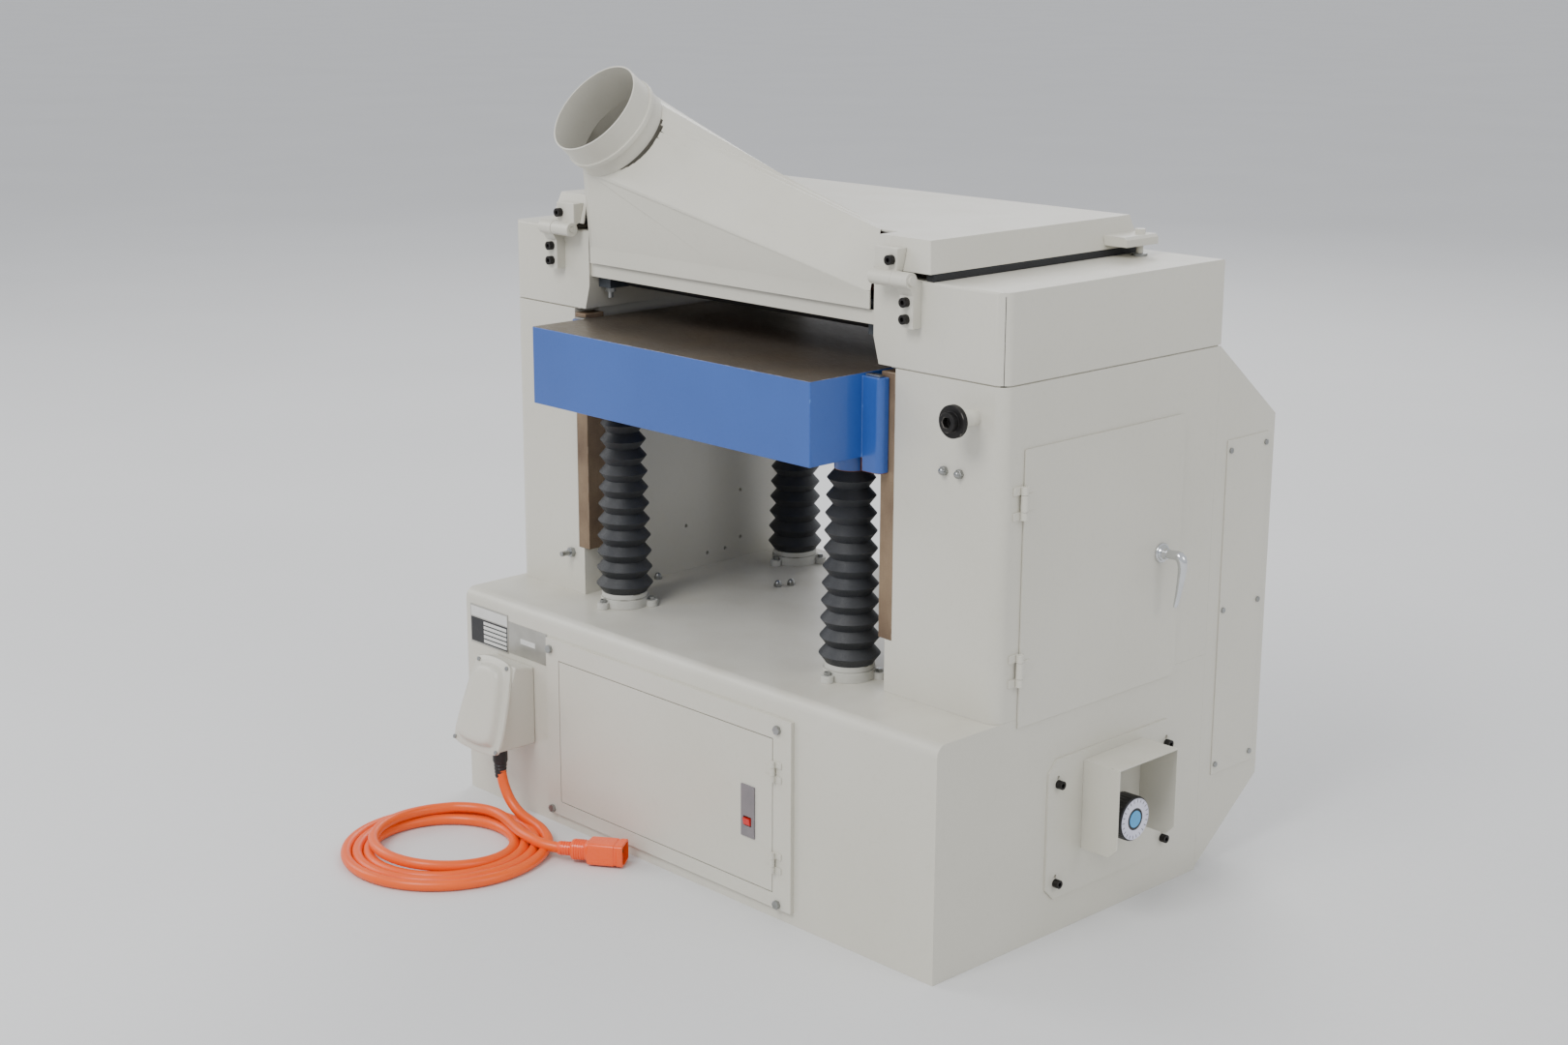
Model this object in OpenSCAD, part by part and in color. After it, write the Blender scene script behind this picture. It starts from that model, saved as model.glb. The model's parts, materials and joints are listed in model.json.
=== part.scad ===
/* [Cabinet] */
// Overall width of the machine body
body_w = 1000; // [900:5:1250]
// Depth of the base cabinet
base_d = 564; // [520:2:700]
// Height of the base cabinet
base_h = 330; // [300:5:420]
// Sheet thickness of base, columns and heads
wall_t = 5; // [3:0.5:7]
// Radius of the front top edge of the base
base_edge_r = 16; // [8:1:24]
// Depth of the ledge in front of the columns
ledge_d = 110; // [90:1:140]

/* [Columns and heads] */
// Width of the left column
left_w = 160; // [140:2:220]
// Width of the right column
right_w = 200; // [180:2:260]
// Height of the columns
col_h = 446; // [400:2:560]
// Radius of the outer front edges
col_edge_r = 18; // [10:1:24]
// Height of the heads, with the joint below them
head_h = 120; // [110:1:150]
// Reach of each head over the opening, measured from its column
head_reach = 25; // [20:1:32]
// Height of the joint gap between column and head
head_gap = 2; // [1:0.5:4]
// Thickness of the rubber gasket under the lid
gasket_t = 10; // [6:1:14]

/* [Guide bars] */
// Width of a guide bar
bar_w = 25; // [20:1:30]
// Depth of a guide bar
bar_d = 36; // [28:1:44]
// How far a guide bar stands proud of its column's inner wall
bar_proud = 12; // [8:1:16]
// Height of the lower end of the guide bars above the base top
bar_lift = 74; // [60:1:100]

/* [Lid] */
// Width of the lid at its rim
lid_w = 773; // [740:1:900]
// Depth of the lid at its rim
lid_d = 428; // [400:1:520]
// Height of the lid
lid_h = 42; // [36:1:60]
// Inward slope of the lid's sides over its height
lid_slope = 10.5; // [6:0.5:16]
// Sheet thickness of lid and chute
lid_t = 3; // [2:0.5:4]

/* [Dust chute] */
// Outside diameter of the dust port
port_d = 150; // [120:1:170]
// Length of the round collar
collar_l = 64; // [50:1:90]
// Tilt of the collar above level
collar_tilt = 40; // [34:1:46]
// Turn of the collar away from straight left
collar_turn = 86; // [80:1:90]
// Height of the front lip below its fold
lip_h = 24; // [18:1:30]

/* [Hinges] */
// Diameter of the lid hinge pins
pin_d = 8; // [6:0.5:10]
// Diameter of the lid hinge barrels
barrel_d = 21; // [18:0.5:23]
// Width of the fixed hinge bracket
bracket_w = 24; // [20:1:30]

/* [Table] */
// Height of the table top above the floor
table_z = 767; // [720:1:785]
// Depth of the table
table_d = 572; // [540:1:640]
// Height of the table's apron
apron_h = 114; // [90:1:130]
// Wall thickness of the table casting
table_t = 12; // [10:1:16]
// Thickness of the table's plate
plate_t = 20; // [14:1:26]
// Clearance between the table's sides and the guide bars
side_gap = 18; // [14:1:24]

/* [Lift] */
// Diameter of the lift screws
screw_d = 30; // [24:1:36]
// Outer diameter of the bellows at the bottom
bellows_d = 88; // [76:1:96]
// Outer diameter of the bellows at the top
bellows_top_d = 58; // [50:1:64]
// Thickness of the cast screw flanges
flange_t = 14; // [10:1:18]
// Thickness of the bellows clamp rings
ring_t = 8; // [6:1:10]
// Distance of the lift screws from the middle of the opening
screw_x = 241; // [230:1:250]
// Radial play of a shaft in its bore
fit = 0.05; // [0.02:0.01:0.08]

/* [Drum and rollers] */
// Diameter of the sanding drum under its wrap
drum_d = 127; // [110:1:135]
// Thickness of the abrasive wrap
wrap_t = 1.5; // [1:0.1:2]
// Diameter of the drum shaft
drum_shaft_d = 35; // [25:1:40]
// Diameter of the pressure and feed rollers
roller_d = 50; // [40:1:56]
// Diameter of the rollers' shafts
roller_shaft_d = 20; // [14:1:24]
// Diameter of the drum's pulley
drum_pulley_d = 112; // [90:1:130]
// Diameter of the motor's pulley
motor_pulley_d = 96; // [80:1:120]

/* [Controls] */
// Width of the control door
control_w = 465; // [420:1:480]
// Height of the control door
control_h = 223; // [200:1:240]
// Height of the service door on the right column
door_h = 374; // [330:1:400]
// Depth of the service door
door_d = 335; // [300:1:350]
// Sheet thickness of the doors
door_t = 2.7; // [2:0.1:3]
// Side length of the speed control's plate
speed_plate_w = 274; // [240:1:280]
// Height of the speed control's plate
speed_plate_h = 202; // [180:1:220]
// Diameter of the speed control's dial
dial_d = 64; // [50:1:72]
// Outer diameter of the power cord
cord_d = 16; // [12:1:18]

/* [Hidden] */
$fn = 64;

// Gap between two pieces that move past each other
run_gap = 0.3;
// A cut reaches this far past the face that it opens
eps = 1;

// Side faces of the body, and the front and rear of the base
xl = -body_w / 2;
xr = body_w / 2;
yf = -base_d / 2;
yr = base_d / 2;
// Front plane of the columns and heads
yc = yf + ledge_d;
// Inner walls of the columns, and the middle of the opening between them
xi_l = xl + left_w;
xi_r = xr - right_w;
mid_x = (xi_l + xi_r) / 2;
// Levels: column top, head bottom, head top and lid rim
z_col = base_h + col_h;
z_head = z_col + head_h;
z_lid = z_head + gasket_t + 0.2;
// Inner faces of the heads
head_l = xi_l + head_reach - 2;
head_r = xi_r - head_reach - 3;
// The heads' inner faces slope back below this level
head_slant_z = z_col + 38;
head_slant = 10;

// Guide bars
bar_notch = bar_w - bar_proud;
bar_z = base_h + bar_lift;
bar_half = (xi_r - xi_l) / 2 - bar_proud;

// Lid
lid_x0 = mid_x - (lid_w - 21) / 2;
lid_x1 = lid_x0 + lid_w;
lid_y0 = yc - 6;
lid_y1 = lid_y0 + lid_d;
lid_top = z_lid + lid_h;

// Lid hinge axis
hinge_y = yc - 21;
hinge_z = z_head + 2;
barrel_r = barrel_d / 2;
pin_r = pin_d / 2;
bracket_x = mid_x - 377;
leaf_x = mid_x - 349;
leaf_w = 40;

// Table
table_half = bar_half - side_gap;
table_y0 = -table_d / 2;
table_y1 = table_d / 2;
apron_z = table_z - apron_h;
lug_reach = side_gap + 15;
lug_drop = 19;
boss_z = base_h + 295;
// The table rises this far above its drawn height
lift_up = 25;
lug_web_z = min(table_z - 4, z_col - lift_up - 1);

// Lift screws
screw_y0 = yc + 14;
screw_y1 = yc + 375;
screw_r = screw_d / 2;
ring_z = base_h + flange_t;
bellows_z = ring_z + ring_t;
bellows_h = boss_z - bellows_z;
screw_pos = [
    [mid_x - screw_x, screw_y0], [mid_x + screw_x, screw_y0],
    [mid_x - screw_x, screw_y1], [mid_x + screw_x, screw_y1]
];
nut_r = screw_r + 8;
sprocket_r = 38;

// Drum and rollers
drum_y = yc + 212;
drum_z = z_head - 26;
drum_x0 = head_l + 14;
drum_x1 = head_r - 16;
roller_y0 = yc + 62;
roller_y1 = yc + 362;
roller_z = drum_z - 35;
shaft_r = drum_shaft_d / 2;
roller_shaft_r = roller_shaft_d / 2;
block_w = 27;
belt_x0 = xi_r + 18;
belt_w = 30;
chain_x0 = xr - 45;
sprocket_w = 8;

// Main motor
motor_y = drum_y;
motor_z = 112;
motor_r = 80;

// Service door and its hinge axis
door_y0 = yc + 43;
door_z0 = base_h - 12;
door_face = xr + run_gap;
door_pin_x = xr + 6;
door_pin_y = door_y0 - 4;
handle_y = door_y0 + door_d - 43;
handle_z = door_z0 + 185;

// Control door, in its frame on the base's front
frame_x0 = mid_x - 273;
frame_x1 = mid_x + 260;
frame_z0 = 18;
frame_z1 = 296;
frame_t = 6;
control_x0 = frame_x0 + 31;
control_z0 = frame_z0 + 23;
control_y = yf - frame_t;
control_pin_x = control_x0 + control_w + 5;
switch_x = control_x0 + 417;
rocker_z = control_z0 + 90;

// Speed control on the base's right side
speed_y0 = yf + 220;
speed_z0 = 52;
speed_t = 3;
dial_y = speed_y0 + 137;
dial_z = speed_z0 + 96;

// Rear guard
guard_d = 141;

// Junction box, coil and cord
jbox_x = xl + 122;
coil_x = -300;
coil_y = -471;
coil_mean_r = 134;
coil_h = 34;
coil_band = 84;
cord_r = cord_d / 2;
cord_sides = 10;
gland_z = 98;
plug_turn = 35;
plug_at = [-150, -362, 19];
cord_route = [
    [-345, -340, 98], [-345, -340, 88], [-342, -341, 76], [-332, -342, 64],
    [-314, -341, 52], [-292, -338, 42], [-268, -336, 33], [-244, -333, 27],
    [-220, -335, 24.2]
];

// ---------- helpers ----------

module box(x0, x1, y0, y1, z0, z1) {
    translate([x0, y0, z0])
        cube([x1 - x0, y1 - y0, z1 - z0]);
}

module rod_x(x0, x1, y, z, r) {
    translate([x0, y, z])
        rotate([0, 90, 0])
            cylinder(r = r, h = x1 - x0);
}

module rod_y(y0, y1, x, z, r) {
    translate([x, y0, z])
        rotate([-90, 0, 0])
            cylinder(r = r, h = y1 - y0);
}

module rod_z(z0, z1, x, y, r) {
    translate([x, y, z0])
        cylinder(r = r, h = z1 - z0);
}

// A profile in y and z, drawn out along x
module along_x(x0, x1) {
    translate([x0, 0, 0])
        rotate([90, 0, 90])
            linear_extrude(x1 - x0)
                children();
}

// A profile in x and z, drawn out along y
module along_y(y0, y1) {
    translate([0, y1, 0])
        rotate([90, 0, 0])
            linear_extrude(y1 - y0)
                children();
}

// A plan in x and y, drawn out along z
module along_z(z0, z1) {
    translate([0, 0, z0])
        linear_extrude(z1 - z0)
            children();
}

module rect(x0, x1, y0, y1) {
    translate([x0, y0])
        square([x1 - x0, y1 - y0]);
}

// The waste outside a rounded corner: sx and sy say which way the corner points
module corner_waste(x, y, r, sx, sy) {
    reach = r + eps;
    translate([x - sx * r, y - sy * r])
        difference() {
            rect(min(0, sx * reach), max(0, sx * reach), min(0, sy * reach), max(0, sy * reach));
            circle(r = r);
        }
}

// What is on both sides of the opening
module both_sides() {
    children();
    translate([2 * mid_x, 0, 0])
        mirror([1, 0, 0])
            children();
}

// Dome nut standing on a level face
module dome_nut(x, y, z, r) {
    translate([x, y, z])
        cylinder(r = r, h = r * 0.8, $fn = 6);
    translate([x, y, z + r * 0.8])
        intersection() {
            sphere(r = r * 0.8);
            cylinder(r = r, h = r);
        }
}

// ---------- cabinet ----------

module base_side() {
    difference() {
        rect(yf, yr, 0, base_h);
        corner_waste(yf, base_h, base_edge_r, -1, 1);
    }
}

module base_cavity_side() {
    difference() {
        rect(yf + wall_t, yr - wall_t, wall_t, base_h - wall_t);
        corner_waste(yf + wall_t, base_h - wall_t, base_edge_r - wall_t, -1, 1);
    }
}

module base_housing() {
    color("#cfcfc6")
    difference() {
        along_x(xl, xr)
            base_side();
        along_x(xl + wall_t, xr - wall_t)
            base_cavity_side();
        // Way up for belts and chains
        box(xi_r + 8, xr - 20, yc + 24, yr - 20, base_h - wall_t - eps, base_h + eps);
        for (p = screw_pos)
            rod_z(base_h - wall_t - eps, base_h + eps, p[0], p[1], nut_r + 1);
        // Window behind the control door
        box(control_x0 + 12, control_x0 + control_w - 12, yf - eps, yf + wall_t + eps,
            control_z0 + 12, control_z0 + control_h - 12);
        // Way in for the cord's wires
        rod_y(yf - eps, yf + wall_t + eps, jbox_x, 180, 12);
        // Hole for the speed control
        rod_x(xr - wall_t - eps, xr + eps, dial_y, dial_z, 30);
    }
}

// Plan of a column between its outer face and its inner wall
module column_plan(out_x, in_x) {
    side = sign(out_x - in_x);
    difference() {
        rect(min(out_x, in_x), max(out_x, in_x), yc, yr);
        corner_waste(out_x, yc, col_edge_r, side, -1);
    }
}

module column_cavity(out_x, in_x) {
    side = sign(out_x - in_x);
    difference() {
        rect(min(out_x, in_x) + wall_t, max(out_x, in_x) - wall_t, yc + wall_t, yr - wall_t);
        corner_waste(out_x - side * wall_t, yc + wall_t, col_edge_r - wall_t, side, -1);
        for (y = [[yc, yc + bar_d + wall_t], [yr - bar_d - wall_t, yr]])
            rect(min(in_x - side, in_x + side * (bar_notch + wall_t)),
                 max(in_x - side, in_x + side * (bar_notch + wall_t)), y[0], y[1]);
    }
}

// Seats of the guide bars, cut out of the column's inner corners
module bar_seats(in_x, side) {
    x0 = min(in_x - side * eps, in_x + side * bar_notch);
    x1 = max(in_x - side * eps, in_x + side * bar_notch);
    box(x0, x1, yc - eps, yc + bar_d, bar_z, z_col + eps);
    box(x0, x1, yr - bar_d, yr + eps, bar_z, z_col + eps);
}

module column(out_x, in_x) {
    side = sign(out_x - in_x);
    difference() {
        along_z(base_h, z_col)
            column_plan(out_x, in_x);
        along_z(base_h - eps, z_col + eps)
            column_cavity(out_x, in_x);
        bar_seats(in_x, side);
    }
}

module left_column() {
    color("#cfcfc6")
    difference() {
        column(xl, xi_l);
        // Spare holes in the inner wall
        for (h = [[yc + 327, 443], [yc + 327, 364], [yc + 293, 351], [yc + 254, 350], [yc + 209, 403]])
            rod_x(xi_l - wall_t - eps, xi_l + eps, h[0], h[1], 3);
    }
}

hub_x = xr - 48;
hub_z = z_col - 43;
hub_sleeve_l = 36;
hub_shaft_r = 6;

module right_column() {
    color("#cfcfc6")
    difference() {
        union() {
            column(xr, xi_r);
            // Sleeve for the height crank
            rod_y(yc - hub_sleeve_l, yc + wall_t, hub_x, hub_z, 11);
        }
        rod_y(yc - hub_sleeve_l - eps, yc + wall_t + eps, hub_x, hub_z, hub_shaft_r + fit);
        // Window behind the service door
        box(xr - wall_t - eps, xr + eps, door_y0 + 16, door_y0 + door_d - 16,
            door_z0 + 16, door_z0 + door_h - 16);
        // Window into the rear guard, for the feed drive
        box(xi_r + 20, xr - 20, yr - wall_t - eps, yr + eps, base_h + 90, z_col - 40);
    }
}

// Profile of a head across the machine
module head_front(out_x, in_x, inset) {
    side = sign(out_x - in_x);
    z0 = z_col + (inset > 0 ? -eps : head_gap);
    polygon([
        [out_x - side * inset, z0],
        [in_x + side * (inset + head_slant), z0],
        [in_x + side * inset, head_slant_z],
        [in_x + side * inset, z_head - inset],
        [out_x - side * inset, z_head - inset]
    ]);
}

module head_side() {
    difference() {
        rect(yc, yr, z_col, z_head);
        corner_waste(yc, z_head, 4, -1, 1);
        corner_waste(yr, z_head, 4, 1, 1);
    }
}

module wall_hole(x, y, z, r) {
    rod_x(x - wall_t - eps, x + wall_t + eps, y, z, r);
}

module head(out_x, in_x, col_in_x, cover_x) {
    side = sign(out_x - in_x);
    difference() {
        intersection() {
            along_y(yc, yr)
                head_front(out_x, in_x, 0);
            along_x(min(out_x, in_x) - eps, max(out_x, in_x) + eps)
                head_side();
            along_z(z_col, z_head + eps)
                difference() {
                    rect(min(out_x, in_x), max(out_x, in_x), yc, yr);
                    corner_waste(out_x, yc, col_edge_r, side, -1);
                }
        }
        along_y(yc + wall_t, yr - wall_t)
            head_front(out_x, in_x, wall_t);
        // Top left open under the lid, over the bearings and the belt
        box(min(in_x + side * wall_t, cover_x), max(in_x + side * wall_t, cover_x),
            yc + 15, lid_y1 - 16, z_head - wall_t - eps, z_head + eps);
        // Way through for the shafts of drum and rollers
        wall_hole(in_x, drum_y, drum_z, shaft_r + 3);
        wall_hole(in_x, roller_y0, roller_z, roller_shaft_r + 3);
        wall_hole(in_x, roller_y1, roller_z, roller_shaft_r + 3);
    }
    // Joint strip on top of the column, set back from the faces
    along_z(z_col, z_col + head_gap)
        difference() {
            rect(min(out_x, col_in_x) + 3, max(out_x, col_in_x) - 3, yc + 3, yr - 3);
            rect(min(out_x, col_in_x) + wall_t, max(out_x, col_in_x) - wall_t, yc + wall_t, yr - wall_t);
            corner_waste(out_x - side * 3, yc + 3, col_edge_r - 3, side, -1);
        }
}

module left_head() {
    color("#cfcfc6")
        head(xl, head_l, xi_l, lid_x0 + 14);
}

module right_head() {
    color("#cfcfc6")
        head(xr, head_r, xi_r, lid_x1 - 14);
}

beam_z = z_head - 62;

module rear_beam() {
    color("#8c8c86")
    difference() {
        box(head_l, head_r, yr - 24, yr - 4, beam_z, z_head);
        box(head_l - eps, head_r + eps, yr - 20, yr - 8, beam_z - eps, z_head - 4);
    }
}

deflector_y = yc + 4;

module front_deflector() {
    color("#c4c4bb")
        along_x(head_l, head_r)
            polygon([
                [deflector_y, z_head - 68], [deflector_y + 14, z_head - 68],
                [deflector_y + 14, z_head - 64], [deflector_y + 4, z_head - 64],
                [deflector_y + 4, z_head - 48.5], [deflector_y, z_head - 48.5]
            ]);
}

module guide_bar(y0) {
    x0 = xi_l - bar_notch;
    along_x(x0, x0 + bar_w)
        polygon([
            [y0, bar_z], [y0 + bar_d, bar_z],
            [y0 + bar_d, z_col - 6], [y0, z_col - 6]
        ]);
}

module guide_bars() {
    color("#857b70")
    both_sides() {
        guide_bar(yc);
        guide_bar(yr - bar_d);
    }
}

// ---------- lift ----------

flange_r = nut_r + 14;
lobe_r = 9;
lobe_at = flange_r + 6;

module screw_flange() {
    difference() {
        union() {
            cylinder(r = flange_r, h = flange_t);
            for (a = [30, 150, 270])
                rotate([0, 0, a])
                    translate([lobe_at, 0, 0])
                        cylinder(r = lobe_r, h = flange_t - 4);
        }
        translate([0, 0, -eps])
            cylinder(r = nut_r + fit, h = flange_t - 4 + eps);
        cylinder(r = screw_r + 2, h = flange_t + eps);
    }
}

module screw_flanges() {
    color("#d8d8d0")
    for (p = screw_pos)
        translate([p[0], p[1], base_h])
            screw_flange();
}

module bellows_rings() {
    color("#1c1c1c")
    for (p = screw_pos)
        translate([p[0], p[1], ring_z])
            difference() {
                cylinder(r = flange_r - 2, h = ring_t);
                translate([0, 0, -eps])
                    cylinder(r = screw_r + 4, h = ring_t + 2 * eps);
            }
}

module bellows() {
    color("#262626")
    for (p = screw_pos)
        translate([p[0], p[1], bellows_z])
            difference() {
                cylinder(r1 = bellows_d / 2, r2 = bellows_top_d / 2, h = bellows_h);
                translate([0, 0, -eps])
                    cylinder(r1 = bellows_d / 2 - 10, r2 = bellows_top_d / 2 - 10, h = bellows_h + 2 * eps);
            }
}

// Lower end of the lift screws, low enough to stay in the nuts with the table raised
screw_z = base_h - 70;

module lift_screws() {
    color("#8d8f92")
    for (p = screw_pos)
        rod_z(screw_z, apron_z + 60, p[0], p[1], screw_r);
}

nut_z0 = base_h - 34;

module lift_nut(p) {
    color("#b08d4a")
    translate([p[0], p[1], nut_z0])
    difference() {
        union() {
            cylinder(r = nut_r, h = base_h + flange_t - 4 - run_gap - nut_z0);
            cylinder(r = sprocket_r, h = 8);
        }
        translate([0, 0, -eps])
            cylinder(r = screw_r + fit, h = base_h - nut_z0 + flange_t);
    }
}

module lift_nut_fl() {
    lift_nut(screw_pos[0]);
}

module lift_nut_fr() {
    lift_nut(screw_pos[1]);
}

module lift_nut_rl() {
    lift_nut(screw_pos[2]);
}

module lift_nut_rr() {
    lift_nut(screw_pos[3]);
}

module lift_chain() {
    color("#4a4a4a")
    translate([0, 0, nut_z0 + 2])
        linear_extrude(4)
            difference() {
                hull()
                    for (p = screw_pos)
                        translate(p)
                            circle(r = sprocket_r + 6, $fn = 32);
                hull()
                    for (p = screw_pos)
                        translate(p)
                            circle(r = sprocket_r + 1, $fn = 32);
            }
}

// ---------- table ----------

module table_plan(inset) {
    rect(mid_x - table_half + inset, mid_x + table_half - inset, table_y0 + inset, table_y1 - inset);
}

lug_t = 17;
lug_gap = 0.5;

// Lug in front of a guide bar; rear lugs are its mirror image
module lug() {
    x_out = mid_x - table_half - lug_reach;
    x_in = mid_x - table_half;
    along_z(apron_z - lug_drop, table_z - 4)
        difference() {
            rect(x_out, x_in, yc - lug_gap - lug_t, yc - lug_gap);
            corner_waste(x_out, yc - lug_gap - lug_t, 9, -1, -1);
        }
    along_z(apron_z - lug_drop, lug_web_z)
        rect(xi_l + bar_proud + 0.5, x_in, yc - lug_gap - eps, yc + bar_d);
}

module table_casting() {
    color("#3c62a0")
    difference() {
        union() {
            along_z(apron_z, table_z)
                table_plan(0);
            both_sides() {
                lug();
                translate([0, yc + yr, 0])
                    mirror([0, 1, 0])
                        lug();
            }
        }
        difference() {
            along_z(apron_z - eps, table_z - plate_t)
                table_plan(table_t);
            // Bosses that hold the lift screws, and cross ribs
            for (p = screw_pos)
                rod_z(boss_z - eps, table_z, p[0], p[1], screw_r + 9);
            for (y = [screw_y0, mid_y, screw_y1])
                box(xi_l, xi_r, y - 5, y + 5, apron_z + 30, table_z);
            box(mid_x - 5, mid_x + 5, yf - 20, yr + 20, apron_z + 30, table_z);
        }
        for (p = screw_pos)
            rod_z(boss_z - eps, table_z - plate_t, p[0], p[1], screw_r + fit);
    }
    color("#6b4a3c")
    for (p = screw_pos)
        translate([p[0], p[1], boss_z])
            difference() {
                cylinder(r = screw_r + 9, h = apron_z - boss_z);
                translate([0, 0, -eps])
                    cylinder(r = screw_r + fit, h = apron_z - boss_z + 2 * eps);
            }
}

mid_y = (screw_y0 + screw_y1) / 2;

module gib_plates() {
    color("#9a9a98")
    both_sides()
        for (y = [yc - lug_gap - lug_t + 4, yr + lug_gap + 3])
            box(mid_x - table_half - lug_reach + 6, mid_x - table_half - 2,
                y, y + 10, table_z - 4, table_z - 1);
}

// ---------- lid ----------

// Inward slope of the lid's sides at a height
function slope_at(z) = lid_slope * (z - z_lid) / lid_h;

module lid_block(inset, z0, z1) {
    s0 = slope_at(z0) + inset;
    s1 = slope_at(z1) + inset;
    intersection() {
        along_x(lid_x0 - eps, lid_x1 + eps)
            polygon([
                [lid_y0 + s0, z0], [lid_y1 - s0, z0], [lid_y1 - s1, z1], [lid_y0 + s1, z1]
            ]);
        along_y(lid_y0 - eps, lid_y1 + eps)
            polygon([
                [lid_x0 + s0, z0], [lid_x1 - s0, z0], [lid_x1 - s1, z1], [lid_x0 + s1, z1]
            ]);
    }
}

// Front of the chute: its fold line and its ends
fold_z = z_head - 23;
chute_y = yc - 2;
chute_x0 = head_l + 5;
chute_x1 = head_r - 6;
chute_t = 4;
chute_mid = [mid_x - 80, yc + 142];

// Collar: middle of its root, its outward direction, and two directions across it
collar_root = [mid_x - 246, yc + 24, lid_top + 91];
collar_n = [
    -cos(collar_tilt) * cos(collar_turn), -cos(collar_tilt) * sin(collar_turn), sin(collar_tilt)
];
collar_f = [sin(collar_turn), -cos(collar_turn), 0];
collar_u = cross(collar_n, collar_f);
collar_r = port_d / 2;

// The chute's foot, as [angle on the collar, x, y, z], from the front's left end round to the right
foot = [
    [-128, chute_x0, chute_y, fold_z],
    [-106, chute_x0 + 6, chute_y, fold_z],
    [-92, chute_x1 - 8, chute_y, fold_z],
    [4, chute_x1, chute_y + 1, fold_z + 0.5],
    [20, chute_x1 - 20, yc + 38, lid_top],
    [36, chute_x1 - 48, yc + 67, lid_top],
    [50, mid_x + 155, yc + 106, lid_top],
    [66, mid_x - 14, yc + 208, lid_top],
    [82, mid_x - 120, yc + 256, lid_top],
    [104, mid_x - 226, yc + 262, lid_top],
    [132, mid_x - 300, yc + 226, lid_top],
    [158, mid_x - 334, yc + 152, lid_top],
    [180, mid_x - 342, yc + 82, lid_top],
    [205, mid_x - 336, yc + 32, lid_top],
    [222, chute_x0 - 6, yc + 7, lid_top],
    [232, chute_x0, chute_y, fold_z]
];
foot_angles = [
    for (i = [0 : len(foot) - 2])
        let (a = foot[i][0], b = foot[i + 1][0], n = max(1, round((b - a) / 8)))
            for (j = [0 : n - 1]) a + (b - a) * j / n
];

function foot_at(a) = [for (k = [1 : 3]) lookup(a, [for (f = foot) [f[0], f[k]]])];
function collar_at(a, r, out) =
    collar_root + out * collar_n + r * (cos(a) * collar_f + sin(a) * collar_u);
// The inside of the chute steps back further at its pointed right end
function end_share(a) = a > -96 && a < 44 ? 8 : 1;
// A foot point moved in by a distance, and down
function foot_in(p, d, down) =
    let (v = [p[0] - chute_mid[0], p[1] - chute_mid[1]])
        [p[0] - d * v[0] / norm(v), p[1] - d * v[1] / norm(v), p[2] - down];

// Closed solid between a ring on the collar and the foot
module chute_solid(inset, r, down, out) {
    n = len(foot_angles);
    upper = [for (a = foot_angles) collar_at(a, r, out)];
    lower = [for (a = foot_angles) foot_in(foot_at(a), inset * end_share(a), min(down, 3))];
    floor_ring = [for (a = foot_angles) foot_in(foot_at(a), inset * end_share(a), down)];
    mid_top = collar_root + out * collar_n;
    mid_low = [chute_mid[0], chute_mid[1], lid_top - down];
    rings = down > 0 ? [upper, lower, floor_ring] : [upper, lower];
    last = len(rings) - 1;
    polyhedron(
        points = concat([for (ring = rings) for (p = ring) p], [mid_top, mid_low]),
        faces = concat(
            [for (k = [0 : last - 1]) for (i = [0 : n - 1])
                let (j = (i + 1) % n) [k * n + i, k * n + j, (k + 1) * n + j]],
            [for (k = [0 : last - 1]) for (i = [0 : n - 1])
                let (j = (i + 1) % n) [k * n + i, (k + 1) * n + j, (k + 1) * n + i]],
            [for (i = [0 : n - 1]) [(last + 1) * n, (i + 1) % n, i]],
            [for (i = [0 : n - 1]) [(last + 1) * n + 1, last * n + i, last * n + (i + 1) % n]]
        )
    );
}

module lid_cover() {
    color("#d6d6cc")
    difference() {
        lid_block(0, z_lid, lid_top);
        lid_block(lid_t, z_lid - eps, lid_top - lid_t);
        // Front opening that the chute's face fills
        box(chute_x0 - 10, chute_x1 + 10, lid_y0 - eps, yc + 40, z_lid - eps, lid_top - lid_t + eps);
        box(chute_x0 - 10, chute_x1 + 10, lid_y0 - eps, yc + 12, z_lid - eps, lid_top + eps);
        // Gap at the chute's right end
        box(chute_x1 - 30, chute_x1 + 10, lid_y0 - eps, yc + 41, z_lid - eps, lid_top + eps);
        // Opening under the chute
        along_z(lid_top - lid_t - eps, lid_top + eps)
            polygon([for (a = foot_angles) let (p = foot_in(foot_at(a), 8, 0)) [p[0], p[1]]]);
    }
}

module dust_chute() {
    color("#d6d6cc") {
        difference() {
            chute_solid(0, collar_r, 0, 0);
            chute_solid(chute_t, collar_r - 2.5, 40, eps);
        }
        // Lip below the fold
        box(chute_x0, chute_x1, chute_y, chute_y + 2, fold_z - lip_h, fold_z);
    }
}

module dust_collar() {
    color("#d6d6cc")
    translate(collar_root + 0.05 * collar_n)
        rotate([0, collar_tilt - 90, collar_turn])
            difference() {
                union() {
                    cylinder(r = collar_r, h = collar_l);
                    translate([0, 0, 22])
                        cylinder(r = collar_r + 3, h = 7);
                }
                translate([0, 0, -eps])
                    cylinder(r = collar_r - 2.5, h = collar_l + 2 * eps);
            }
}

module lid_gasket() {
    color("#161616")
    difference() {
        box(lid_x0, lid_x1, yc + 1, lid_y1, z_head, z_head + gasket_t);
        box(lid_x0 + 14, lid_x1 - 14, yc - eps, lid_y1 - 16, z_head - eps, z_head + gasket_t + eps);
    }
}

bracket_y = yc - 16;

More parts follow.
